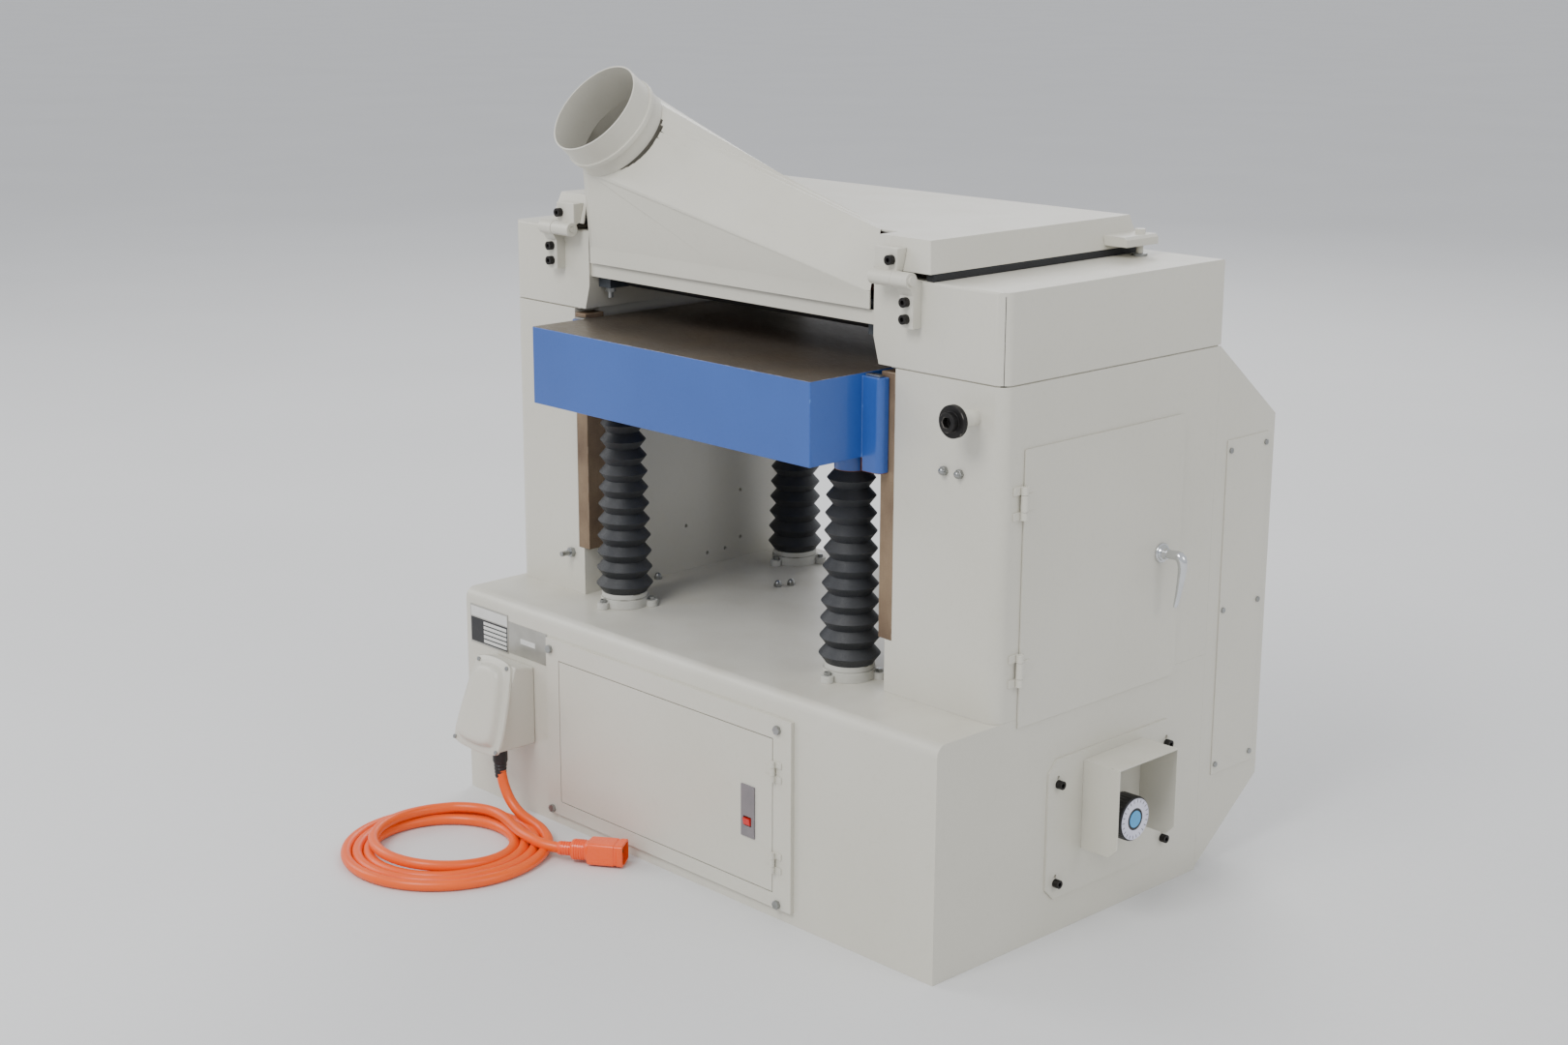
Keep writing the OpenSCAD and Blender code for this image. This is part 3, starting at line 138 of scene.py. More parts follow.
def driftGroup():
    tree, start, end = shaderGroup("colourDrift", [
        ("Color", "Color", (1, 1, 1, 1)), ("Tint", "Color", (1, 1, 1, 1)),
        ("Scale", "Float", 5.0), ("Amount", "Float", 0.5)], [("Color", "Color"), ("Mask", "Float")])
    where = addNode(tree, "ShaderNodeTexCoord").outputs["Object"]
    broad = spread(tree, cloud(tree, start.outputs["Scale"], 5, where), 0.35, 0.7)
    speck = spread(tree, cloud(tree, calc(tree, "MULTIPLY", start.outputs["Scale"], 37), 3, where), 0.55, 0.75)
    mask = calc(tree, "ADD", calc(tree, "MULTIPLY", broad, 0.8), calc(tree, "MULTIPLY", speck, 0.35))
    mask = calc(tree, "MULTIPLY", mask, start.outputs["Amount"])
    tree.links.new(mixColour(tree, mask, start.outputs["Color"], start.outputs["Tint"]), end.inputs["Color"])
    tree.links.new(mask, end.inputs["Mask"])
    return tree


def rubGroup():
    tree, start, end = shaderGroup("edgeRub", [
        ("Color", "Color", (1, 1, 1, 1)), ("Bare", "Color", (1, 1, 1, 1)),
        ("Amount", "Float", 0.5), ("Scale", "Float", 60.0)], [("Color", "Color"), ("Mask", "Float")])
    where = addNode(tree, "ShaderNodeTexCoord").outputs["Object"]
    edge = addNode(tree, "ShaderNodeAttribute", attribute_name="edge").outputs["Fac"]
    chips = cloud(tree, start.outputs["Scale"], 6, where)
    limit = calc(tree, "SUBTRACT", 0.72, calc(tree, "MULTIPLY", start.outputs["Amount"], 0.3))
    hit = calc(tree, "MULTIPLY", calc(tree, "SUBTRACT", chips, limit), 14)
    hit = spread(tree, hit, 0.0, 1.0)
    mask = calc(tree, "MULTIPLY", hit, edge)
    tree.links.new(mixColour(tree, mask, start.outputs["Color"], start.outputs["Bare"]), end.inputs["Color"])
    tree.links.new(mask, end.inputs["Mask"])
    return tree


def dustGroup():
    tree, start, end = shaderGroup("settledDust", [
        ("Color", "Color", (1, 1, 1, 1)), ("Dust", "Color", (1, 1, 1, 1)),
        ("Amount", "Float", 0.3), ("Scale", "Float", 14.0)], [("Color", "Color"), ("Mask", "Float")])
    place = addNode(tree, "ShaderNodeTexCoord")
    facing = addNode(tree, "ShaderNodeSeparateXYZ")
    tree.links.new(place.outputs["Normal"], facing.inputs[0])
    upward = spread(tree, facing.outputs["Z"], 0.3, 0.95)
    patch = spread(tree, cloud(tree, start.outputs["Scale"], 7, place.outputs["Object"]), 0.42, 0.7)
    mask = calc(tree, "MULTIPLY", calc(tree, "MULTIPLY", upward, patch), start.outputs["Amount"])
    tree.links.new(mixColour(tree, mask, start.outputs["Color"], start.outputs["Dust"]), end.inputs["Color"])
    tree.links.new(mask, end.inputs["Mask"])
    return tree


def grainGroup():
    tree, start, end = shaderGroup("surfaceGrain", [
        ("Scale", "Float", 400.0), ("Stretch", "Vector", (1, 1, 1)), ("Detail", "Float", 3.0)],
        [("Height", "Float"), ("Mask", "Float")])
    where = addNode(tree, "ShaderNodeTexCoord").outputs["Object"]
    pulled = addNode(tree, "ShaderNodeVectorMath", operation="MULTIPLY")
    tree.links.new(where, pulled.inputs[0])
    tree.links.new(start.outputs["Stretch"], pulled.inputs[1])
    noise = addNode(tree, "ShaderNodeTexNoise")
    tree.links.new(pulled.outputs[0], noise.inputs["Vector"])
    tree.links.new(start.outputs["Scale"], noise.inputs["Scale"])
    tree.links.new(start.outputs["Detail"], noise.inputs["Detail"])
    tree.links.new(noise.outputs["Fac"], end.inputs["Height"])
    tree.links.new(spread(tree, noise.outputs["Fac"], 0.3, 0.7), end.inputs["Mask"])
    return tree


groups = {"drift": driftGroup(), "rub": rubGroup(), "dust": dustGroup(), "grain": grainGroup()}
print("shader groups built")


def hexColour(text):
    parts = [int(text[i:i + 2], 16) / 255 for i in (0, 2, 4)]
    return tuple(c / 12.92 if c < 0.04045 else ((c + 0.055) / 1.055) ** 2.4 for c in parts) + (1.0,)


# colour, drift tint, drift scale and amount, roughness range, metal, grain (scale, stretch, depth in metres),
# rubbed edges (colour, amount), dust (colour, amount), coat
finishes = {
    "cabinetPaint": dict(colour="cfccc0", tint="c1beaf", drift=(3.5, 0.5), rough=(0.34, 0.46),
                         grain=(420, (1, 1, 1), 0.00005), rub=("a39f90", 0.25), dust=("b3ab97", 0.22),
                         coat=0.15),
    "tablePaint": dict(colour="2a56a4", tint="234a92", drift=(5, 0.6), rough=(0.3, 0.44),
                       grain=(300, (1, 1, 1), 0.00007), rub=("4f78bc", 0.3), dust=("6f7d95", 0.08), coat=0.25),
    "primedCasting": dict(colour="704236", tint="54342c", drift=(20, 0.8), rough=(0.6, 0.8),
                          grain=(260, (1, 1, 1), 0.0003), rub=("8a7467", 0.7), dust=("85796a", 0.3)),
    "whiteCasting": dict(colour="c9c8c0", tint="a9a79d", drift=(30, 0.6), rough=(0.42, 0.6),
                         grain=(330, (1, 1, 1), 0.0002), rub=("8f8c82", 0.6), dust=("8f8878", 0.35)),
    "bellowsRubber": dict(colour="232528", tint="34363a", drift=(22, 0.7), rough=(0.46, 0.66),
                          grain=(520, (1, 1, 1), 0.00012), rub=("3d4044", 0.5), dust=("5b5a57", 0.4)),
    "sealRubber": dict(colour="18191b", tint="232427", drift=(30, 0.6), rough=(0.55, 0.75),
                       grain=(600, (1, 1, 1), 0.00008), dust=("4a4843", 0.3)),
    "cordRubber": dict(colour="f4600f", tint="e2500a", drift=(9, 0.6), rough=(0.3, 0.42),
                       grain=(700, (1, 1, 1), 0.00004), dust=("b8683c", 0.12)),
    "plugPlastic": dict(colour="fb5a14", tint="f04c0c", drift=(12, 0.5), rough=(0.24, 0.36),
                        grain=(900, (1, 1, 1), 0.00003), rub=("ff7a4a", 0.5), coat=0.2),
    "zincPlate": dict(colour="a4a6a6", tint="85857f", drift=(60, 0.7), rough=(0.26, 0.46), metal=1.0,
                      grain=(800, (1, 1, 1), 0.00004), rub=("cfd0cf", 0.5)),
    "blackOxide": dict(colour="242323", tint="35322f", drift=(70, 0.7), rough=(0.36, 0.55), metal=0.7,
                       grain=(700, (1, 1, 1), 0.00006), rub=("6c6863", 0.5)),
    "polishedChrome": dict(colour="d4d6d8", tint="bfc1c3", drift=(40, 0.5), rough=(0.08, 0.2), metal=1.0,
                           grain=(900, (1, 1, 1), 0.00001)),
    "turnedSteel": dict(colour="9a9996", tint="7d7a74", drift=(26, 0.6), rough=(0.24, 0.42), metal=1.0,
                        grain=(420, (14, 1, 1), 0.00003), rub=("c8c6c1", 0.6)),
    "groundTop": dict(colour="736a60", tint="4c4036", drift=(4, 0.75), rough=(0.26, 0.5), metal=0.7,
                      grain=(55, (1, 26, 1), 0.00004), rub=("a19a92", 0.7), dust=("7a6a55", 0.35)),
    "guideSteel": dict(colour="8c775f", tint="5b4737", drift=(14, 0.9), rough=(0.42, 0.68), metal=0.35,
                       grain=(60, (20, 20, 1), 0.0001), rub=("8d7c68", 0.8), dust=("6a5a48", 0.4)),
    "motorPaint": dict(colour="3c4248", tint="2f343a", drift=(12, 0.6), rough=(0.44, 0.6),
                       grain=(350, (1, 1, 1), 0.0002), rub=("7c7f80", 0.6), dust=("6d6a62", 0.4)),
    "abrasiveGrit": dict(colour="7a4430", tint="5d3324", drift=(40, 0.8), rough=(0.8, 0.95),
                         grain=(1500, (1, 1, 1), 0.0005)),
    "castBronze": dict(colour="9a7440", tint="7c5c32", drift=(30, 0.6), rough=(0.3, 0.5), metal=1.0,
                       grain=(500, (1, 1, 1), 0.00008), rub=("c79f62", 0.5)),
    "blackPlastic": dict(colour="1a1a1c", tint="262628", drift=(30, 0.5), rough=(0.36, 0.5),
                         grain=(900, (1, 1, 1), 0.00005), rub=("3d3d40", 0.4)),
    "redPlastic": dict(colour="d2231c", tint="b71d17", drift=(80, 0.5), rough=(0.28, 0.4),
                       grain=(900, (1, 1, 1), 0.00002), rub=("e8625b", 0.3)),
    "greyPlastic": dict(colour="7d7779", tint="66676a", drift=(50, 0.5), rough=(0.36, 0.5),
                        grain=(900, (1, 1, 1), 0.00003), rub=("9fa0a2", 0.4)),
    "dialWhite": dict(colour="dcdcec", tint="c9c9de", drift=(60, 0.5), rough=(0.3, 0.42),
                      grain=(900, (1, 1, 1), 0.00002)),
    "dialBlue": dict(colour="4ea6dc", tint="3d93cb", drift=(80, 0.5), rough=(0.25, 0.38),
                     grain=(900, (1, 1, 1), 0.00002)),
    "plateMetal": dict(colour="b5b3ad", tint="9b9890", drift=(35, 0.6), rough=(0.28, 0.44), metal=0.9,
                       grain=(260, (1, 1, 30), 0.00002), rub=("d5d4d0", 0.4)),
    # dark ink for the printing, also used as painted shade in the switch slots
    "plateInk": dict(colour="1c1c1e", tint="2b2a2a", drift=(60, 0.5), rough=(0.4, 0.55),
                     grain=(900, (1, 1, 1), 0.00001)),
    "plateWhite": dict(colour="d6d6d2", tint="c4c3bd", drift=(60, 0.5), rough=(0.35, 0.5),
                       grain=(900, (1, 1, 1), 0.00001)),
    "paleFloor": dict(colour="dcdcdb", tint="d4d4d3", drift=(1.2, 0.5), rough=(0.55, 0.7),
                      grain=(90, (1, 1, 1), 0.00015)),
}


def useGroup(tree, key, **values):
    node = addNode(tree, "ShaderNodeGroup", node_tree=groups[key])
    for title, value in values.items():
        node.inputs[title].default_value = value
    return node


def makeFinish(name, s):
    mat = bpy.data.materials.new(name)
    mat.use_nodes = True
    tree = mat.node_tree
    shader = tree.nodes["Principled BSDF"]
    shader.inputs["Metallic"].default_value = s.get("metal", 0.0)
    shader.inputs["Coat Weight"].default_value = s.get("coat", 0.0)
    layer = useGroup(tree, "drift", Color=hexColour(s["colour"]), Tint=hexColour(s["tint"]),
                     Scale=s["drift"][0], Amount=s["drift"][1])
    if "rub" in s:
        rubbed = useGroup(tree, "rub", Bare=hexColour(s["rub"][0]), Amount=s["rub"][1])
        tree.links.new(layer.outputs["Color"], rubbed.inputs["Color"])
        layer = rubbed
    if "dust" in s:
        dusted = useGroup(tree, "dust", Dust=hexColour(s["dust"][0]), Amount=s["dust"][1])
        tree.links.new(layer.outputs["Color"], dusted.inputs["Color"])
        layer = dusted
    tree.links.new(layer.outputs["Color"], shader.inputs["Base Color"])
    scale, stretch, depth = s["grain"]
    grain = useGroup(tree, "grain", Scale=scale, Stretch=stretch)
    tree.links.new(spread(tree, grain.outputs["Mask"], 0.0, 1.0, *s["rough"]), shader.inputs["Roughness"])
    bump = addNode(tree, "ShaderNodeBump", {"Strength": 1.0, "Distance": depth})
    tree.links.new(grain.outputs["Height"], bump.inputs["Height"])
    tree.links.new(bump.outputs["Normal"], shader.inputs["Normal"])
    mat.diffuse_color = hexColour(s["colour"])
    return mat


mats = {name: makeFinish(name, s) for name, s in finishes.items()}
print("finishes made:", len(mats))


def newPiece(name, bm, finish, body, replaced=(), smooth=35):
    if isinstance(bm, bmesh.types.BMesh):
        mesh = bpy.data.meshes.new(name)
        bm.to_mesh(mesh)
        bm.free()
    else:
        mesh = bm
    obj = bpy.data.objects.new(name, mesh)
    bpy.context.scene.collection.objects.link(obj)
    for used in (finish if isinstance(finish, (list, tuple)) else [finish]):
        if used:
            mesh.materials.append(mats[used])
    mesh.shade_smooth()
    mesh.set_sharp_from_angle(angle=math.radians(smooth))
    if body:
        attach(obj, body)
    if replaced:
        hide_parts(*replaced)
    return obj


def evaluatedMesh(obj):
    depsgraph = bpy.context.evaluated_depsgraph_get()
    mesh = bpy.data.meshes.new_from_object(obj.evaluated_get(depsgraph), depsgraph=depsgraph)
    old = obj.data
    bpy.data.objects.remove(obj)
    if old.users == 0:
        bpy.data.meshes.remove(old) if isinstance(old, bpy.types.Mesh) else bpy.data.curves.remove(old)
    return mesh


def plainObject(name, mesh):
    obj = bpy.data.objects.new(name, mesh)
    bpy.context.scene.collection.objects.link(obj)
    return obj


def nodeMesh(node):
    bm = bmesh.new()
    bm.from_mesh(nodes[node].data)
    bmesh.ops.remove_doubles(bm, verts=bm.verts, dist=0.00001)
    bmesh.ops.dissolve_limit(bm, angle_limit=math.radians(0.8), verts=bm.verts, edges=bm.edges)
    return bm


def easeMesh(bm, width, steps=2, angle=32):
    mesh = bpy.data.meshes.new("easing")
    bm.to_mesh(mesh)
    bm.free()
    mesh.materials.clear()
    for _ in range(2):
        mesh.materials.append(None)
    mesh.polygons.foreach_set("material_index", [0] * len(mesh.polygons))
    obj = plainObject("easing", mesh)
    bevel = obj.modifiers.new("ease", "BEVEL")
    bevel.width = width
    bevel.segments = steps
    bevel.limit_method = "ANGLE"
    bevel.angle_limit = math.radians(angle)
    bevel.material = 1
    bevel.use_clamp_overlap = True
    weigh = obj.modifiers.new("weigh", "WEIGHTED_NORMAL")
    weigh.weight = 90
    weigh.keep_sharp = True
    obj.data.shade_smooth()
    result = evaluatedMesh(obj)
    edge = [float(p.material_index == 1) for p in result.polygons]
    result.polygons.foreach_set("material_index", [0] * len(result.polygons))
    result.attributes.new("edge", "FLOAT", "FACE").data.foreach_set("value", edge)
    result.materials.clear()
    return result


def easedPiece(node, width, finish, **options):
    words = node.split("_")
    name = words[0] + "".join(w.capitalize() for w in words[1:]) + "Shell"
    mesh = easeMesh(nodeMesh(node), width * mm, **options)
    obj = newPiece(name, mesh, finish, bodyOf[node], [node], smooth=60)
    return obj


# the cord: a drop from the box, a coil on the floor and a tail to the plug; lengths in mm, angles in degrees
cordForm = {
    "thick": 16 * mm,
    "drop": [(-345, -340, 98), (-345, -340, 88), (-340.8, -340, 64), (-328.6, -339.5, 43), (-312, -338.5, 28.6),
             (-294, -337.5, 21), (-272, -336.5, 17.5), (-248, -336, 14.5)],
    "centre": (-300, -471),
    "radii": [(0, 157), (24, 148), (384, 131), (744, 114), (1060, 99), (1250, 97), (1362, 108)],
    "bulge": 8.5, "step": 21.4, "turns": 1362, "lowest": 8.2, "upper": 24.3,
    "plug": (-150, -362, 19), "plugTurn": 35, "tail": 18, "reach": (320, 280),
}


def easeStep(t):
    t = max(0.0, min(1.0, t))
    return t * t * (3 - 2 * t)


def keyed(keys, x):
    for (x0, v0), (x1, v1) in zip(keys, keys[1:]):
        if x <= x1:
            return v0 + (v1 - v0) * (x - x0) / (x1 - x0)
    return keys[-1][1]


def coilPoint(s, wound):
    angle = math.radians(60 - wound)
    radius = keyed(s["radii"], wound) + s["bulge"] * (1 - math.cos(angle - math.radians(s["plugTurn"])))
    lift = s["upper"] - s["lowest"]
    height = s["lowest"] + 4 * (1 - easeStep(wound / 40)) + lift * easeStep((wound - 1060) / 190)
    x, y = s["centre"]
    return Vector((x + radius * math.cos(angle), y + radius * math.sin(angle), height))


def cordPath(s):
    points = [Vector(p) for p in s["drop"]]
    wound = 10.0
    while wound < s["turns"]:
        points.append(coilPoint(s, wound))
        wound += s["step"]
    turn = math.radians(s["plugTurn"])
    heading = Vector((math.cos(turn), math.sin(turn), 0))
    begin = coilPoint(s, s["turns"])
    leave = math.radians(60 - s["turns"])
    along = Vector((math.sin(leave), -math.cos(leave), 0))
    goal = Vector(s["plug"]) - heading * s["tail"]
    points.append(begin)
    tailCount = 11
    for i in range(1, tailCount + 1):
        t = i / tailCount
        p = ((2 * t**3 - 3 * t**2 + 1) * begin + (t**3 - 2 * t**2 + t) * s["reach"][0] * along
             + (3 * t**2 - 2 * t**3) * goal + (t**3 - t**2) * s["reach"][1] * heading)
        left = (goal - p).length
        p.z = goal.z + (s["upper"] - goal.z) * easeStep(left / 52)
        points.append(p)
    for _ in range(2):
        calm = [p.copy() for p in points]
        for i in range(2, len(points) - 2):
            calm[i] = points[i] * 0.75 + (points[i - 1] + points[i + 1]) * 0.125
        points = calm
    return [p * mm for p in points]


def refined(points, parts):
    out = []
    last = len(points) - 1
    for i in range(last):
        a, b, c, d = (points[max(0, min(last, k))] for k in (i - 1, i, i + 1, i + 2))
        for j in range(parts):
            t = j / parts
            bend, twist = 2 * a - 5 * b + 4 * c - d, 3 * b - a - 3 * c + d
            out.append(0.5 * (2 * b + (c - a) * t + bend * t * t + twist * t**3))
    return out + [points[-1]]


def sweptTube(points, radii, sides):
    bm = bmesh.new()
    rings = []
    normal = Vector((0, 0, 1)) if abs((points[1] - points[0]).normalized().z) < 0.9 else Vector((1, 0, 0))
    for i, p in enumerate(points):
        ahead = (points[min(i + 1, len(points) - 1)] - points[max(i - 1, 0)]).normalized()
        normal = (normal - ahead * normal.dot(ahead)).normalized()
        across = ahead.cross(normal)
        r = radii[i] if isinstance(radii, list) else radii
        rings.append([bm.verts.new(p + r * (normal * math.cos(a) + across * math.sin(a)))
                      for a in (2 * math.pi * k / sides for k in range(sides))])
    for low, high in zip(rings, rings[1:]):
        for k in range(sides):
            bm.faces.new((low[k], low[(k + 1) % sides], high[(k + 1) % sides], high[k]))
    bm.faces.new(list(reversed(rings[0])))
    bm.faces.new(rings[-1])
    bmesh.ops.recalc_face_normals(bm, faces=bm.faces)
    return bm


cordPoints = cordPath(cordForm)
cordLine = refined(cordPoints, 4)
cordPiece = newPiece("powerCord", sweptTube(cordLine, cordForm["thick"] / 2, 20), "cordRubber", "machine",
                     ["power_cord", "cord_coil"])


plugForm = {"tailThin": 9.3, "tailThick": 10.5, "collar": 14.6, "shroud": (28, 84, 18.6, 16.6), "wall": 2.8,
            "mouth": 62, "ridges": 5, "pins": [(-8, 0), (8, 0), (0, 8)]}


def superRing(bm, x, half, tall, power, count=40):
    ring = []
    for k in range(count):
        a = 2 * math.pi * k / count
        c, s = math.cos(a), math.sin(a)
        y = half * math.copysign(abs(c) ** (2 / power), c)
        z = tall * math.copysign(abs(s) ** (2 / power), s)
        ring.append(bm.verts.new((x, y, z)))
    return ring


def loft(bm, rings, closeStart=True, closeEnd=True):
    for low, high in zip(rings, rings[1:]):
        for k in range(len(low)):
            bm.faces.new((low[k], low[(k + 1) % len(low)], high[(k + 1) % len(low)], high[k]))
    if closeStart:
        bm.faces.new(list(reversed(rings[0])))
    if closeEnd:
        bm.faces.new(rings[-1])


def placed(bm, turn, at):
    bmesh.ops.scale(bm, vec=(mm, mm, mm), verts=bm.verts)
    bmesh.ops.rotate(bm, cent=(0, 0, 0), matrix=Matrix.Rotation(math.radians(turn), 3, "Z"), verts=bm.verts)
    bmesh.ops.translate(bm, vec=Vector(at) * mm, verts=bm.verts)
    bmesh.ops.recalc_face_normals(bm, faces=bm.faces)
    return bm


def makePlug(s):
    bm = bmesh.new()
    thin, thick, collar = s["tailThin"], s["tailThick"], s["collar"]
    rings = [superRing(bm, -18, thin, thin, 2)]
    for k in range(4):  # ribbed tail
        for step, r in ((0, thick), (2, thick), (2.4, thin), (3.6, thin)):
            rings.append(superRing(bm, -14 + 4 * k + step, r, r, 2))
    rings += [superRing(bm, 3, 13, 13, 2.2), superRing(bm, 5, collar, collar, 2.4)]
    for k in range(s["ridges"]):
        for step, r in ((0, collar), (1.8, collar), (2.2, collar - 1), (3.2, collar - 1)):
            rings.append(superRing(bm, 7 + 3.6 * k + step, r, r, 2.6))
    x0, x1, half, tall = s["shroud"]
    rings += [superRing(bm, x0, 15, 14.6, 3), superRing(bm, x0 + 1.5, half - 1.2, tall - 1.2, 7),
              superRing(bm, x0 + 4, half, tall, 8), superRing(bm, x1 - 14, half, tall, 8),
              superRing(bm, x1 - 13, half - 0.9, tall - 0.9, 8),
              superRing(bm, x1 - 10, half - 0.9, tall - 0.9, 8),
              superRing(bm, x1 - 9, half, tall, 8), superRing(bm, x1 - 0.8, half, tall, 8),
              superRing(bm, x1, half - 0.8, tall - 0.8, 8),
              superRing(bm, x1, half - s["wall"], tall - s["wall"], 8),
              superRing(bm, s["mouth"], half - s["wall"], tall - s["wall"], 8)]
    loft(bm, rings)
    return placed(bm, cordForm["plugTurn"], cordForm["plug"])


def makePins(s):
    bm = bmesh.new()
    for y, z in s["pins"]:
        flat = z > 0
        rings = [superRing(bm, x, (3.4 if flat else 1) * k, (1 if flat else 3.4) * k, 6, 16)
                 for x, k in ((s["mouth"] + 0.2, 1), (s["mouth"] + 15, 1), (s["mouth"] + 17, 0.6))]
        for v in (v for ring in rings for v in ring):
            v.co += Vector((0, y, z))
        loft(bm, rings)
    return placed(bm, cordForm["plugTurn"], cordForm["plug"])


plugPiece = newPiece("plugBody", makePlug(plugForm), "plugPlastic", "machine", ["power_plug"])
pinPiece = newPiece("plugPins", makePins(plugForm), "castBronze", "machine")

reliefForm = {"top": 98, "length": 26, "wide": 10.4, "narrow": 8.6, "ribs": 5}


def makeRelief(s):
    x, y = cordForm["drop"][0][:2]
    spots, radii = [Vector((x, y, s["top"] - 0.1))], [s["wide"]]
    for k in range(s["ribs"]):
        for part, cut in ((0.15, 0), (0.6, 0), (0.7, 0.9), (0.95, 0.9)):
            t = (k + part) / s["ribs"]
            spots.append(Vector((x + 0.8 * max(0, t - 0.5), y, s["top"] - s["length"] * t)))
            radii.append(s["wide"] + (s["narrow"] - s["wide"]) * t - cut * (1 - t * 0.4))
    return sweptTube([p * mm for p in spots], [max(r, 8.25) * mm for r in radii], 32)


reliefPiece = newPiece("strainRelief", makeRelief(reliefForm), "blackPlastic", "machine")
print("plug and strain relief made")


# carried-over pieces with eased edges
easedForm = {  # node: (edge radius in mm, finish)
    "base_housing": (1.2, "cabinetPaint"), "left_column": (1.0, "cabinetPaint"),
    "right_column": (1.0, "cabinetPaint"), "left_head": (1.0, "cabinetPaint"),
    "right_head": (1.0, "cabinetPaint"), "rear_beam": (0.8, "cabinetPaint"),
    "front_deflector": (0.6, "cabinetPaint"), "guide_bars": (1.2, "guideSteel"),
    "screw_flanges": (1.6, "whiteCasting"), "bellows_rings": (1.0, "whiteCasting"),
    "zinc_bolts": (0.5, "zincPlate"), "cap_screws": (0.5, "blackOxide"),
    "lid_gasket": (1.6, "sealRubber"), "hinge_brackets": (1.4, "cabinetPaint"),
    "control_frame": (0.8, "cabinetPaint"), "control_box": (0.6, "cabinetPaint"),
    "contactors": (0.8, "greyPlastic"), "junction_box": (2.5, "cabinetPaint"),
    "cord_gland": (0.8, "blackPlastic"), "speed_plate": (0.5, "cabinetPaint"),
    "dial_hood": (0.5, "cabinetPaint"), "rear_guard": (0.7, "cabinetPaint"),
    "guard_panel": (0.5, "cabinetPaint"), "door_hinges": (0.5, "cabinetPaint"),
    "main_motor": (1.5, "motorPaint"), "drive_belts": (1.0, "sealRubber"),
    "feed_motor": (1.2, "motorPaint"), "shaft_bearings": (1.0, "motorPaint"),
    "lid_cover": (0.8, "cabinetPaint"), "dust_chute": (0.7, "cabinetPaint"),
    "dust_collar": (0.7, "cabinetPaint"), "hinge_leaves": (1.2, "cabinetPaint"),
    "lid_screws": (0.4, "blackOxide"), "lid_handle": (0.8, "cabinetPaint"),
    "latch_ears": (1.4, "cabinetPaint"), "gib_plates": (0.4, "zincPlate"),
    "lift_screws": (0.5, "turnedSteel"), "sanding_drum": (0.6, "turnedSteel"),
    "abrasive_wrap": (0.3, "abrasiveGrit"), "infeed_roller": (0.8, "sealRubber"),
    "outfeed_roller": (0.8, "sealRubber"), "lift_nut_fl": (0.6, "castBronze"),
    "lift_nut_fr": (0.6, "castBronze"), "lift_nut_rl": (0.6, "castBronze"),
    "lift_nut_rr": (0.6, "castBronze"), "height_hub": (0.9, "blackOxide"),
    "service_door": (0.6, "cabinetPaint"), "control_door": (0.6, "cabinetPaint"),
    "switch_rocker": (0.7, "redPlastic"), "motor_pulley": (0.5, "turnedSteel"),
    "table_casting": (2.2, "tablePaint"), "rating_plates": (0.2, "plateMetal"),
    "lift_chain": (0.5, "blackOxide"),
}

shells = {}
for node, (width, finish) in easedForm.items():
    shells[node] = easedPiece(node, width, finish)
print("eased shells made:", len(shells))


# which faces of a shell take another finish: (finish, low corner, high corner, way the face looks or None)
faceRules = {
    "table_casting": [("groundTop", (-400, -300, 766), (400, 300, 768), 2),
                      ("primedCasting", (-400, -300, 600), (400, 300, 653.1), None)],
    "control_door": [("greyPlastic", (141.5, -300, 107), (170, -286.4, 185), None)],
    "infeed_roller": [("turnedSteel", (-600, -600, 0), (-298, 600, 2000), None),
                      ("turnedSteel", (258, -600, 0), (600, 600, 2000), None)],
}


def refinish(node, rules):
    mesh = shells[node].data
    for finish, low, high, axis in rules:
        mesh.materials.append(mats[finish])
        slot = len(mesh.materials) - 1
        for p in mesh.polygons:
            c = p.center / mm
            inside = all(low[k] <= c[k] <= high[k] for k in range(3))
            if inside and (axis is None or p.normal[axis] > 0.9):
                p.material_index = slot


for node, rules in faceRules.items():
    refinish(node, rules)
print("faces refinished")


# pressed cover, door handle, speed dial

coverForm = {"foot": 60, "crown": 41, "half": 73, "cut": 14, "smooth": 4,
             "high": (-318, 245), "low": (-358, 116),
             "steps": [(0, 0.1), (0, 4.2), (0.9, 5), (8.5, 5), (10, 5.6), (11.2, 7.4), (13, 12.5), (15.4, 16),
                       (19, 17.6), (25, 18)]}


def coverRing(s, inset):
    foot, crown, half, cut = s["foot"] - inset, s["crown"] - inset, s["half"] - inset, s["cut"]
    ring = [(-foot, cut - half), (cut - foot, -half), (foot - cut, -half), (foot, cut - half),
            (crown + 6, half - 18), (crown - 6, half), (6 - crown, half), (-crown - 6, half - 18)]
    for _ in range(s["smooth"]):
        ring = [(a[0] * w + b[0] * (1 - w), a[1] * w + b[1] * (1 - w))
                for a, b in zip(ring, ring[1:] + ring[:1]) for w in (0.75, 0.25)]
    return ring


def makeCover(s):
    low, high = islandBoxes("junction_lid")[0]
    top, foot = Vector(s["high"]), Vector(s["low"])
    tilt = math.atan2(top.x - foot.x, top.y - foot.y)
    middle = Vector(((low.x + high.x) / 2 / mm, (top.x + foot.x) / 2, (top.y + foot.y) / 2))
    turn = Matrix.Rotation(-tilt, 3, "X")
    bm = bmesh.new()
    rings = [[bm.verts.new((middle + turn @ Vector((x, -depth, z))) * mm) for x, z in coverRing(s, inset)]
             for inset, depth in s["steps"]]
    loft(bm, rings)
    bmesh.ops.recalc_face_normals(bm, faces=bm.faces)
    return bm


